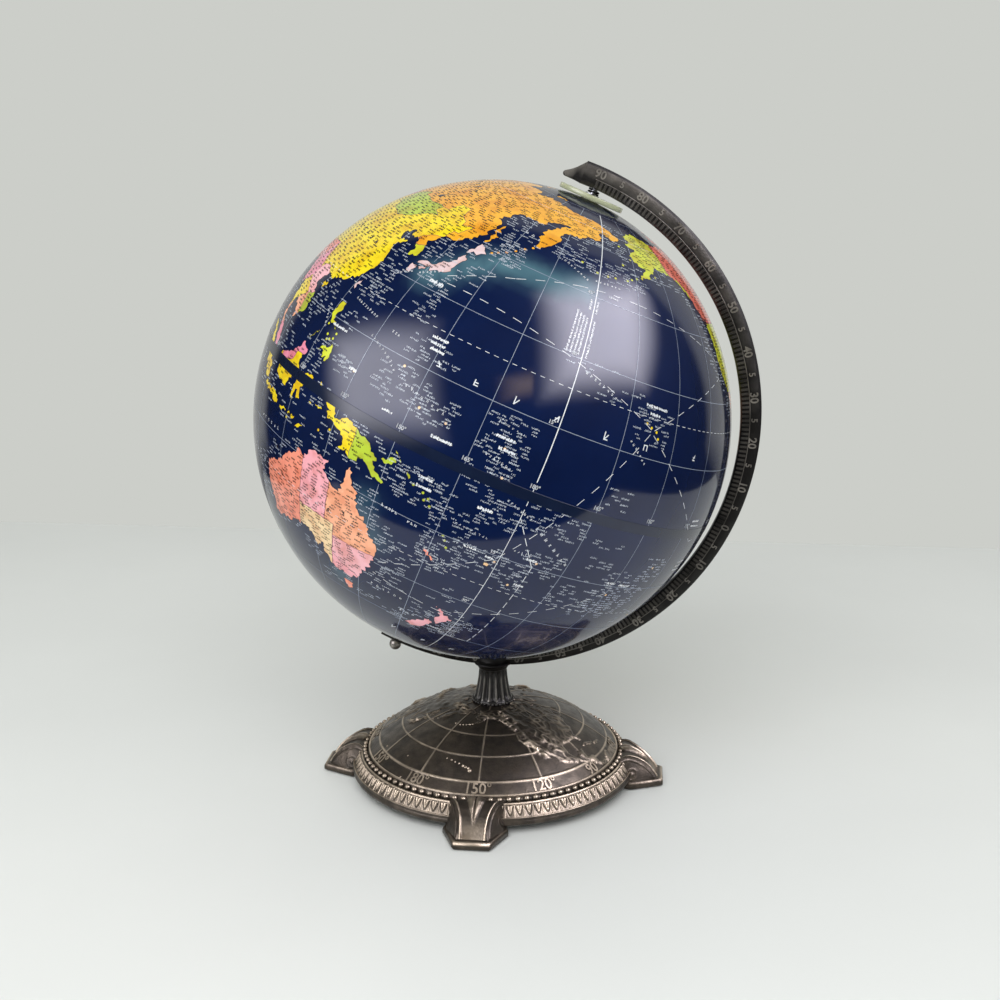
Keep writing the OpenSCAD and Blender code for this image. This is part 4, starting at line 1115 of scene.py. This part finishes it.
# Half width of a tick, in mm
TICK = 0.72
relief = Soup()
for face in (-1, 1):
    # The thin ridge between the scale and the figures
    ridge_phi = np.radians(np.linspace(90.6, SOUTH_END, 361))
    strip_net = []
    for r, w in ((RIDGE_R - 0.55, 3.98), (RIDGE_R - 0.3, 4.3), (RIDGE_R, 4.3), (RIDGE_R + 0.25, 3.98)):
        u, v = r * np.cos(ridge_phi), r * np.sin(ridge_phi) + INNER_UP
        strip_net.append(in_arm(u, v, face * w))
    relief.grid(np.array(strip_net), wear=np.array([0.1, 0.5, 0.5, 0.1])[:, None], flip=face < 0)
    for degree in range(-91, 91):
        a = math.radians(degree)
        c, s = math.cos(a), math.sin(a)
        r0 = INNER_UP * s + math.sqrt(INNER_R ** 2 - (INNER_UP * c) ** 2) + 0.5
        r1 = INNER_UP * s + RIDGE_R - 0.5
        ends = ((r0, -TICK), (r1, -TICK), (r1, TICK), (r0, TICK))
        corners = [(r * c - h * s, r * s + h * c) for r, h in ends]
        raised(relief, corners, face, 0.35, 0.27)
    for degree in range(-90, 91, 5):
        a = math.radians(degree)
        outward, along = np.array([math.cos(a), math.sin(a)]), face * np.array([-math.sin(a), math.cos(a)])
        big = degree % 10 == 0
        size = 4.9 if big else 3.8
        text = str(abs(degree)) if big else "5"
        _, _, r_out = arm_edges(np.array(float(degree)))
        r = r_out - (6.9 if big else 6.3)
        verts, faces = number_mesh(text, size, 0.5, bold=0.02)
        flat = outward * r + np.outer(verts[:, 0], along) + np.outer(verts[:, 1], outward)
        place = in_arm(flat[:, 0], flat[:, 1], face * (HALF_T - 0.12 + verts[:, 2]))
        # Painted light: the figures' tops grow lighter from 60 degrees south to full brightness above 20
        # degrees south
        relief.add(place, faces, np.interp(degree, [-60, -20], [0.34, 0.64]) * (verts[:, 2] > 0.2))

# Boss over the stem
STEM_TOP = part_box("stem_column")[1][2] / MM
BOSS_TOP = (CENTRE[2] - BALL_R) / MM - 1.6


def at_stem(points):
    """Points in mm from the stem's foot on the table, moved to the frame."""
    return np.asarray(points) * MM + [STEM_X, 0, 0]


def stem_lathe(profile, steps):
    """A net turned about the stem, from an (r, z) profile in mm."""
    turn = circle(steps)
    r, z = np.array(profile).T
    upright = np.repeat(z[:, None], steps, axis=1)
    return at_stem(np.stack([np.outer(r, np.cos(turn)), np.outer(r, np.sin(turn)), upright], axis=-1))


def bead_angles(share, rings, sides):
    """Angles from the top and round the side for a net over that share of a bead."""
    return np.meshgrid(np.linspace(0, math.pi * share, rings), circle(sides), indexing="ij")


def bead_ring(soup, count, first, place, size, angles, wear):
    """A ring of beads about the stem: place (r, z), half sizes (out, along, up) in mm, first in steps."""
    a, b = angles
    x, y = place[0] + size[0] * np.sin(a) * np.cos(b), size[1] * np.sin(a) * np.sin(b)
    z = place[1] + size[2] * np.cos(a)
    for k in range(count):
        bearing = (k + first) * 2 * math.pi / count
        c, s = math.cos(bearing), math.sin(bearing)
        soup.grid(at_stem(np.stack([x * c - y * s, x * s + y * c, z], axis=-1)), wear=wear, wrap_cols=True,
                  flip=True)


boss = [(0.5, STEM_TOP), (9.4, STEM_TOP), (10.0, STEM_TOP + 0.5)]
boss += [(13.4 - 3.4 * math.cos(math.radians(a)), STEM_TOP + 3.4 * math.sin(math.radians(a)))
         for a in (20, 40, 60, 76)]
boss += [(12.9, STEM_TOP + 4.2), (11.2, STEM_TOP + 5.0), (10.2, STEM_TOP + 6.4), (10.0, STEM_TOP + 8),
         (10.0, BOSS_TOP - 1.2), (9.4, BOSS_TOP - 0.4), (8.6, BOSS_TOP), (0.5, BOSS_TOP)]
boss_wear = np.array([0.05, 0.05, 0.2] + [0.08] * 4 + [0.12, 0.1] + [0.08] * (len(boss) - 9))
arm.grid(stem_lathe(boss, 72), wear=boss_wear[:, None], wrap_cols=True)
arm.make("arm_casting", ARM_METAL, body="stand", replaces=("meridian_arm",), slot="arm_metal")
relief.make("arm_scale", ARM_METAL, body="stand", slot="arm_metal", smooth=False)

# ---------------------------------------------------------------- stem

STEM_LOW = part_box("stem_column")[0][2] / MM
# Radii of the stem's foot and neck and how hollow its side is, in mm; flutes, and net columns per flute
FOOT_R, NECK_R, HOLLOW, FLUTES, PER_FLUTE = 13.5, 9.3, 0.7, 15, 14


def stem_radius(z):
    """Radius of the stem's hollow-curved side at a height."""
    t = (z - STEM_LOW) / (STEM_TOP - STEM_LOW)
    return FOOT_R + (NECK_R - FOOT_R) * t - HOLLOW * 4 * t * (1 - t)


stem = Soup()
rows, cols = 60, FLUTES * PER_FLUTE
z = np.linspace(STEM_LOW, STEM_TOP, rows)
turn = circle(cols)
share = (z - STEM_LOW) / (STEM_TOP - STEM_LOW)
wave = 0.5 - 0.5 * np.cos(turn * FLUTES)
# The flutes end in a round scoop near the foot and in a narrow arch under the neck
depth = 1.3 * np.clip((share - 0.10) / 0.10, 0, 1) ** 0.6 * np.clip((0.97 - share) / 0.08, 0, 1) ** 0.5
groove = np.clip(wave, 0, 1) ** 0.8
radius = stem_radius(z)[:, None] - depth[:, None] * groove[None, :]
scallop = 0.55 * np.clip(1 - np.abs(share - 0.06) / 0.06, 0, 1)[:, None] * (1 - groove)[None, :]
radius = np.minimum(radius + scallop, FOOT_R + 0.2)
net = np.stack([radius * np.cos(turn), radius * np.sin(turn), np.repeat(z[:, None], cols, axis=1)], axis=-1)
ridge = (1 - groove)[None, :]
# Rubbed flute ridges whose brightness fades out over the top of the stem: painted shade under the boss
stem_wear_and_shade = 0.46 * ridge ** 2 * np.clip((0.92 - share) / 0.2, 0, 1)[:, None] * (depth[:, None] > 0.2)
stem_wear_and_shade = 0.03 + stem_wear_and_shade + 0.2 * (share < 0.1)[:, None] * ridge
stem.grid(at_stem(net), wear=np.broadcast_to(stem_wear_and_shade, radius.shape), wrap_cols=True)
stem.add(at_stem(net[-1]), [tuple(range(cols))], 0.3)
angles = bead_angles(1, 6, 10)
bead_ring(stem, 34, 0, (14.0, STEM_LOW + 0.9), (0.95, 0.95, 0.95), angles,
          0.6 * np.clip(np.cos(angles[0]), 0, 1))
stem.make("stem_fluted", STEM_METAL, body="stand", replaces=("stem_column",), slot="stem_metal")

# ---------------------------------------------------------------- base casting

# Radius of the dome's curve, height of its top and radius of its edge, in mm
DOME_R, DOME_TOP, DOME_EDGE = 126.5, 54.0, 84.0
DOME_Z = DOME_TOP - DOME_R
# The relief is a map about the north pole: mm out from the stem per degree, and its turn in degrees
MM_PER_DEGREE = 15.1 / 15
MAP_TURN = 60


def dome_point(r, turn, lift):
    """Points on the dome from distances and bearings about the stem, lifted square to the dome, in mm."""
    up = np.sqrt(DOME_R ** 2 - r ** 2)
    grow = 1 + lift / DOME_R
    return np.stack([r * grow * np.cos(turn), r * grow * np.sin(turn), DOME_Z + up * grow], axis=-1)


def waves(x, y, seed, count=26, fine=0.42):
    """Seeded rough ground between -1 and 1: many crossing waves; x and y in mm."""
    roll = random.Random(seed)
    total = np.zeros_like(x)
    for _ in range(count):
        a, size = roll.uniform(0, math.pi), fine * roll.uniform(0.6, 2.6)
        wave = np.sin((x * math.cos(a) + y * math.sin(a)) * size + roll.uniform(0, 6.28))
        total += wave * roll.uniform(0.4, 1)
    return total / math.sqrt(count)


base = Soup()
r = np.concatenate([[9.0], np.linspace(12.5, DOME_EDGE - 0.6, 132)])
turn = circle(620)
R, T = np.meshgrid(r, turn, indexing="ij")
X, Y = R * np.cos(T), R * np.sin(T)
lat = 90 - R / MM_PER_DEGREE
lon = (np.degrees(T) - MAP_TURN + 180) % 360 - 180
land = on_land(lon, lat).astype(float)
land = (land * 2 + np.roll(land, 1, 1) + np.roll(land, -1, 1)) / 4
ground = waves(X, Y, 3)
peaks = np.clip(1 - 1.7 * np.abs(waves(X, Y, 7, fine=0.62)), 0, 1)
peaks *= np.clip(0.55 + 0.5 * waves(X, Y, 9, fine=0.14), 0, 1)
# Mountain chains as runs of longitude and latitude, drawn as rough ridges
CHAINS = """-152,62 -140,60 -133,57 -126,51 -121,45 -120,38 -116,32 -112,27 / -116,48 -110,42 -106,36
-104,30 -103,24 / -135,66 -126,60 -118,53 -113,47 / 160,56 158,52 / 141,43 138,36 134,34 / 70,37 80,31
90,28 98,29 / 75,42 90,46 100,50 115,54 130,58 / 140,65 155,66 170,66 / 60,66 59,56 / 6,45 12,47 / 45,42
52,36 56,30"""
chain_gap = np.full(X.shape, 99.0)
for line in CHAINS.split("/"):
    spots = [(math.radians(p[0] + MAP_TURN), (90 - p[1]) * MM_PER_DEGREE) for p in pairs(line)]
    spots = [np.array([out * math.cos(a), out * math.sin(a)]) for a, out in spots]
    for p, q in zip(spots, spots[1:]):
        share = np.clip(((X - p[0]) * (q - p)[0] + (Y - p[1]) * (q - p)[1]) / ((q - p) @ (q - p)), 0, 1)
        chain_gap = np.minimum(chain_gap,
                               np.hypot(X - p[0] - share * (q - p)[0], Y - p[1] - share * (q - p)[1]))
CHAIN_HALF = 3.6    # half width of a chain, in mm
chain = np.clip(1 - chain_gap / CHAIN_HALF, 0, 1) ** 0.7
coast = 4 * land * (1 - land)
height = land * (0.5 + 0.16 * ground + 0.35 * peaks) + chain * (0.3 + 1.5 * peaks + 0.3 * ground)
worn_and_lit = land * (0.06 + 0.4 * peaks + 0.1 * np.clip(ground, 0, 1)) + chain * (0.05 + 0.85 * peaks)
worn_and_lit = np.maximum(worn_and_lit, 0.5 * coast)


def crest(distance, half):
    """1 on a line and 0 beyond its half width."""
    return np.clip(1 - (distance / half) ** 2, 0, 1)


# Grid of the relief: spokes every 30 degrees, out to the last of three circles
CIRCLES = (45.2, 61.4, 77.0)
spoke = np.abs((np.degrees(T) / 30 + 0.5) % 1 - 0.5) * 30
spoke_mm = np.radians(spoke) * R
on_spoke = crest(spoke_mm, 0.7) * (R < CIRCLES[-1]) * (1 - 0.7 * land)
on_circle = sum(crest(np.abs(R - c), 0.7) for c in CIRCLES) * (1 - 0.6 * land)
height = np.maximum(height, 0.36 * np.maximum(on_spoke, on_circle))
worn_and_lit = np.maximum(worn_and_lit, 0.62 * np.maximum(on_spoke, on_circle))
# Painted sheen: the dome is made lighter towards its edge
worn_and_lit += 0.16 * (R / DOME_EDGE) ** 5
base.grid(at_stem(dome_point(R, T, height)), wear=worn_and_lit, wrap_cols=True)

# Small islands as bumps, the Pacific chains that show on the dome: longitude, latitude, radius in mm
BUMPS = """-159.5,22,0.9 -158,21.4,0.8 -156.5,20.9,0.8 -155.5,19.6,1.3 -162,23.2,0.6 -164.5,23.8,0.6
-167,24.6,0.6 -170,25.2,0.5 -165,54.2,0.7 -168,53.4,0.7 -171,52.6,0.6 -174,52,0.6 -177,51.6,0.6
-180,51.4,0.6 177,51.8,0.6 145,13.5,0.6 146,16,0.5 166,19,0.5 171,7.5,0.5 151,46.5,0.6 154,49,0.6"""
a, b = bead_angles(0.5, 4, 8)
for lon, lat, size in pairs(BUMPS):
    out = (90 - lat) * MM_PER_DEGREE
    spot_r = out + size * np.sin(a) * np.cos(b)
    spot_t = math.radians(lon + MAP_TURN) + size * np.sin(a) * np.sin(b) / out
    base.grid(at_stem(dome_point(spot_r, spot_t, size * 0.6 * np.cos(a))), wear=0.65, wrap_cols=True,
              flip=True)

# Degree figures along the edge: their height, the radius of their feet and of their middle, in mm, and how
# much wider than usual they are set
FIGURE, FIGURE_FEET, FIGURE_MIDDLE, WIDEN = 5.5, 83.4, 80, 1.16
for degree in range(0, 360, 30):
    west = degree if degree <= 180 else 360 - degree
    bearing = math.radians(degree + MAP_TURN)
    verts, faces = number_mesh(f"{west}°", FIGURE, 0.65, bold=0.012)
    turned_by = verts[:, 0] * WIDEN / FIGURE_MIDDLE
    base.add(at_stem(dome_point(FIGURE_FEET - verts[:, 1], bearing + turned_by, verts[:, 2] - 0.1)), faces,
             0.1 + 0.52 * (verts[:, 2] > 0.3))

# Edge mouldings, lip and the hollow underneath
CELLS = 96    # darts and beads round the edge
rim = pairs("""83.3,22.35 83.7,22.7 84.2,22.8 84.7,22.4 85,21.4 85.3,20.2 85.9,19.4 88.4,18.9
88.8,19.25 89.3,19.3 89.7,18.75 90,18""")
rim_wear = np.array([0.2, 0.75, 0.85, 0.4, 0.15, 0.0, 0.0, 0.0, 0.5, 0.85, 0.6, 0.1])
base.grid(stem_lathe(rim[::-1], 432), wear=rim_wear[::-1, None], wrap_cols=True, flip=True)
lip = [(94.1, 11.5), (94.5, 12.0), (95.1, 12.1), (95.5, 11.6)]
lip += arc((93.1, 8.6), 2.6, 38, -80, 12)
lip += [(92.6, 6.0), (88.2, 6.0), (87.7, 6.4), (87.7, 15.0), (83.0, 15.0), (83.0, 17.6)]
UNDER_R = 122.5    # radius of the curve of the dome's underside
lip += [(q, DOME_Z + math.sqrt(UNDER_R ** 2 - q ** 2)) for q in np.linspace(80, 11, 24)]
lip += [(11.0, 34.0), (3.3, 34.0)]
lip_wear = np.full(len(lip), 0.04)
lip_wear[:10] = (0.1, 0.6, 0.6, 0.15, 0.04, 0.06, 0.08, 0.06, 0.04, 0.04)
base.grid(stem_lathe(lip, 216), wear=lip_wear[:, None], wrap_cols=True, flip=True)

# Band of leaf darts between two ridges
rows, per = 20, 22
down = np.linspace(0, 1, rows)
turn = circle(CELLS * per)
D, T = np.meshgrid(down, turn, indexing="ij")
across = (T / (2 * math.pi) * CELLS) % 1 - 0.5
reach = 0.36 * np.clip(1 - (D - 0.06) / 0.74, 0, 1) ** 0.62 * (D > 0.05)
edge = np.clip((reach - np.abs(across)) / 0.10, 0, 1)
pit = np.clip((0.07 - np.abs(across)) / 0.05, 0, 1) * edge * (D < 0.55)
groove = np.clip(1 - np.abs(np.abs(across) - reach - 0.05) / 0.07, 0, 1) * (D > 0.06) * (D < 0.88)
bars = np.clip(1 - (0.5 - np.abs(across)) / 0.07, 0, 1)
lift = 0.75 * edge - 0.5 * pit + 0.4 * bars - 0.35 * groove + 0.12
# The band leans outwards: its top, its fall, and the direction square to it
band_r, band_z = 90.0 + 4.2 * D + lift * 0.837, 18.0 - 6.5 * D + lift * 0.547
band = np.stack([band_r * np.cos(T), band_r * np.sin(T), band_z], axis=-1)
base.grid(at_stem(band), wear=np.clip(0.33 + 0.45 * edge + 0.4 * bars - 0.5 * groove - 0.6 * pit, 0, 1),
          wrap_cols=True)

# Row of beads
angles = bead_angles(0.75, 8, 12)
bead_ring(base, CELLS, 0.5, (87.1, 20.3), (1.65, 1.8, 1.75), angles,
          0.75 * np.clip(np.cos(angles[0]) + 0.15, 0, 1))

# ---------------------------------------------------------------- scroll feet

# Side view of a foot's crest, as r,z in mm
SPINE = pairs("85.4,19.4 87.2,21.2 90,22.3 93.2,22.2 98,20.2 103,16.9 107.2,12.8 110,9 111.6,6")


def spine_at(s):
    """Side view of a foot's crest, evenly spaced, as r and z in mm."""
    lengths = np.concatenate([[0], np.cumsum(np.linalg.norm(np.diff(SPINE, axis=0), axis=1))])
    at = np.asarray(s) * lengths[-1]
    return np.interp(at, lengths, SPINE[:, 0]), np.interp(at, lengths, SPINE[:, 1])


def foot_half(s):
    """Half width of a foot's top along its crest."""
    return 8.4 + 10.0 * np.clip(1 - s, 0, 1) ** 2.6


def turned(x, y, z, quarter):
    """The same points on another foot."""
    for _ in range(quarter):
        x, y = -y, x
    return at_stem(np.stack([x, y, z], axis=-1))


def foot(soup, quarter):
    """One scroll foot: leaf and channel on top, scrolled flanks, and a bevelled pad."""
    # Top: s runs out along the crest, t across it
    s, t = np.meshgrid(np.linspace(0, 1, 46), np.linspace(-1, 1, 61), indexing="ij")
    x, z = spine_at(s)
    edge = foot_half(s)
    y = edge * t
    rail = crest((1 - np.abs(t)) * edge - 0.9, 0.85)
    hollow = (1 - t ** 2) * 0.9 * np.sin(np.clip(s * 1.15, 0, 1) * math.pi * 0.5)
    leaf_share = np.clip((s - 0.07) / 0.66, 0, 1)
    leaf_half = 6.3 * np.clip(1 - leaf_share, 0, 1) ** 0.8 * np.clip(leaf_share * 9 + 0.25, 0, 1)
    inside = np.clip((leaf_half - np.abs(y)) / np.maximum(leaf_half, 0.2), 0, 1) * (leaf_half > 0.1)
    blade = np.where(inside > 0, 0.9 + 1.5 * np.minimum(inside, 0.55) - 1.3 * crest(np.abs(y), 0.8), 0)
    rise = 0.9 * rail - hollow + blade - 1.3 * t ** 2 * (1 - s)
    dx, dz = np.gradient(x, axis=0), np.gradient(z, axis=0)
    size = np.hypot(dx, dz)
    top = turned(x - rise * dz / size, y, z + rise * dx / size, quarter)
    # Rails and leaf are rubbed bright; the crest also lightens towards the foot's outer end, a painted
    # highlight where it faces the light
    soup.grid(top, wear=np.clip(0.6 * rail + 0.24 * blade + 0.42 * s ** 2, 0, 1))
    # Flanks: q runs down
    q, s = np.meshgrid(np.linspace(0, 1, 34), np.linspace(0, 1, 46), indexing="ij")
    x, z = spine_at(s)
    edge = foot_half(s)
    foot_line = np.interp(x, [84, 98, 112], [19.4, 18.0, 9.6])
    fx, fy, fz = x, edge + (foot_line - edge) * q ** 1.3 + 0.8 * np.sin(math.pi * q), z + (5.4 - z) * q
    away = np.hypot(fx - 95.0, fz - 10.2)
    below = np.hypot(fx - x, fz - z)
    scroll = crest(below - 2.9, 0.55) + crest(np.abs(away - 3.4), 0.5) + 1.4 * crest(away, 1.4)
    fy = fy + 0.45 * scroll
    for side in (-1, 1):
        soup.grid(turned(fx, side * fy, fz, quarter), wear=0.18 * np.clip(scroll, 0, 1), flip=side < 0)
    # Pad: its outline, pulled in towards the heart ring by ring
    pad = pairs("86,19 95,20.5 113.7,12.2 115.7,11 115.7,-11 113.7,-12.2 95,-20.5 86,-19")
    heart = np.array([99.0, 0.0])
    pull = (heart - pad) / np.linalg.norm(heart - pad, axis=1)[:, None]
    levels = ((0.7, 1.0), (0.0, 1.6), (0.0, 3.6), (0.25, 4.5), (0.9, 5.3), (1.9, 5.8), (3.2, 5.7))
    rings = np.array([np.column_stack([pad + pull * inset, np.full(8, level)]) for inset, level in levels])
    net = turned(rings[..., 0], rings[..., 1], rings[..., 2], quarter)
    level_wear = np.array([0.05, 0.08, 0.15, 0.5, 0.85, 0.5, 0.1])[:, None]
    # The pad's bevel is rubbed bright, fully on its outer end and at 0.35 on its sides: painted highlight
    # on the pad's front edge
    pad_wear_and_highlight = level_wear * np.where(pad[:, 0] > 115, 1.0, 0.35)
    soup.grid(net, wear=pad_wear_and_highlight, wrap_cols=True, flip=True)
    soup.add(net[-1], [tuple(range(8))[::-1]], 0.2)
    soup.add(net[0], [tuple(range(8))], 0.1)


for quarter in range(4):
    foot(base, quarter)
base.make("base_relief", PEWTER, body="stand", replaces=("base_casting",), slot="base_metal")

# ---------------------------------------------------------------- CAD pieces that show as they are

STEEL_NODES = "stem_bolt bolt_washer lock_washer locating_pins axis_rod spring_washer"
for mat, names in ((FELT, "foot_pads"), (STEEL, STEEL_NODES), (BOARD, "joint_ring"),
                   (SPACER, "south_washer north_bushing south_bushing")):
    for node in names.split():
        frame["nodes"][node].data.materials.clear()
        frame["nodes"][node].data.materials.append(mat)

# ---------------------------------------------------------------- stage, light and camera

PAPER = finish_of("paper", (224, 226, 225), (220, 222, 221), scale=3, rough=0.6)


def plane(name, corners, mat):
    """A flat stage surface through four corners."""
    piece = new_object(name, corners, [(0, 1, 2, 3)], mat, smooth=False)
    return piece


# The floor ends at FAR_EDGE, and the room shows behind it; only the desk sheet shows in reflections
FAR_EDGE = 0.66
floor = plane("floor_sheet", [(-5, -5, 0), (5, -5, 0), (5, FAR_EDGE, 0), (-5, FAR_EDGE, 0)], PAPER)
floor.visible_glossy = False
desk = [(-0.7, -0.34, 0.0001), (0.6, -0.34, 0.0001), (0.6, 0.6, 0.0001), (-0.7, 0.6, 0.0001)]
plane("desk_sheet", desk, PAPER)


def lamp(name, place, aim, wide, tall, power, tone=(255, 255, 255), mirrored=True, only=None):
    """A soft rectangular light that faces its aim; not mirrored, or for one collection only, if asked."""
    light = bpy.data.lights.new(name, "AREA")
    light.shape, light.size, light.size_y = "RECTANGLE", wide, tall
    light.energy, light.color = power, linear(tone)[:3]
    holder = bpy.data.objects.new(name, light)
    holder.location = place
    holder.rotation_euler = (Vector(aim) - Vector(place)).to_track_quat("-Z", "Y").to_euler()
    holder.visible_glossy = mirrored
    if only:
        holder.light_linking.receiver_collection = only
    bpy.context.scene.collection.objects.link(holder)


# Distance of the glowing sheets from the ball's centre, in metres
CARD_R = 2.6


def card(name, corners, power, tone, soft=0.35):
    """A glowing sheet with soft edges, seen only in reflections, between four directions from the ball."""
    mat = bpy.data.materials.new(name)
    mat.use_nodes = True
    nodes, links = mat.node_tree.nodes, mat.node_tree.links
    nodes.remove(nodes["Principled BSDF"])
    glow, fade, scaled = (nodes.new("ShaderNode" + kind) for kind in ("Emission", "Attribute", "Math"))
    glow.inputs["Color"].default_value = linear(tone)
    fade.attribute_name = "wear"
    scaled.operation = "MULTIPLY"
    scaled.inputs[1].default_value = power
    links.new(fade.outputs["Fac"], scaled.inputs[0])
    links.new(scaled.outputs["Value"], glow.inputs["Strength"])
    links.new(glow.outputs["Emission"], nodes["Material Output"].inputs["Surface"])
    a, e = np.radians(np.array(corners, float)).T
    far = CENTRE + CARD_R * np.stack([np.cos(e) * np.cos(a), np.cos(e) * np.sin(a), np.sin(e)], axis=-1)
    s, t = np.meshgrid(np.linspace(0, 1, 21), np.linspace(0, 1, 21), indexing="ij")
    weights = np.stack([(1 - s) * (1 - t), s * (1 - t), s * t, (1 - s) * t], axis=-1)
    rim_gap = np.clip(np.minimum(np.minimum(s, 1 - s) / soft, np.minimum(t, 1 - t) / soft), 0, 1)
    piece = new_object(name, (weights @ far).reshape(-1, 3), grid_faces(21, 21), mat,
                       wear=(rim_gap ** 2 * (3 - 2 * rim_gap)).reshape(-1))
    piece.visible_camera = piece.visible_diffuse = piece.visible_shadow = piece.visible_transmission = False


def lit_together(name, pieces):
    """A collection of pieces for a lamp that shines on nothing else."""
    made = bpy.data.collections.new(name)
    for piece in pieces:
        made.objects.link(bpy.data.objects[piece])
    return made


metal_pieces = lit_together("metal_pieces", ("base_relief", "arm_casting", "arm_scale", "stem_fluted",
                                             "ball_nut_turned", "spring_coil"))
floor_pieces = lit_together("floor_pieces", ("floor_sheet", "desk_sheet"))
# Lamps: place, aim, width, height and power
lamp("overhead", (-0.1, -1.3, 1.4), (0, -0.3, 0.0), 1.8, 1.0, 20, mirrored=False)
lamp("floor_front", (0, -1.3, 0.8), (0, -0.75, 0), 1.6, 0.6, 6, mirrored=False, only=floor_pieces)
lamp("metal_top", (-0.3, -1.0, 1.8), (0, 0, 0.1), 2.0, 1.6, 8, only=metal_pieces)
lamp("metal_front", (0.3, -1.9, 0.7), (0, 0, 0.2), 2.4, 1.2, 3.2, only=metal_pieces)
# Cards: four corners as bearing and height in degrees, power, colour and softness
card("window_right", ((-50, 66), (41, 35), (-7, 10), (-66, 14)), 13.2, (236, 232, 244))
card("window_left", ((176, 28), (-114, 54), (-99, -2), (-157, -5)), 7.2, (240, 238, 245))
card("lamp_glow", ((-84, 15), (-50, 18), (-50, 33), (-84, 29)), 2.7, (255, 222, 184), 0.5)
card("room_behind", ((150, -12), (30, -12), (30, 60), (150, 60)), 0.9, (215, 216, 212), 0.1)

# The room: an even grey light that is left out of reflections
world = bpy.data.worlds.new("room")
world.use_nodes = True
world.node_tree.nodes["Background"].inputs["Color"].default_value = linear((204, 206, 201))
world.node_tree.nodes["Background"].inputs["Strength"].default_value = 1.0
world.cycles_visibility.glossy = False
bpy.context.scene.world = world

# The camera, as fitted to the photo
camera = bpy.data.cameras.new("camera")
camera.lens, camera.sensor_width = 47.08, 36
viewer = bpy.data.objects.new("camera", camera)
viewer.location = (STEM_X + 0.0973, -0.8314, 0.3795)
viewer.rotation_euler = (math.radians(90 - 12.65), 0, math.radians(6.35))
bpy.context.scene.collection.objects.link(viewer)
bpy.context.scene.camera = viewer
bpy.context.scene.view_settings.view_transform = "Standard"
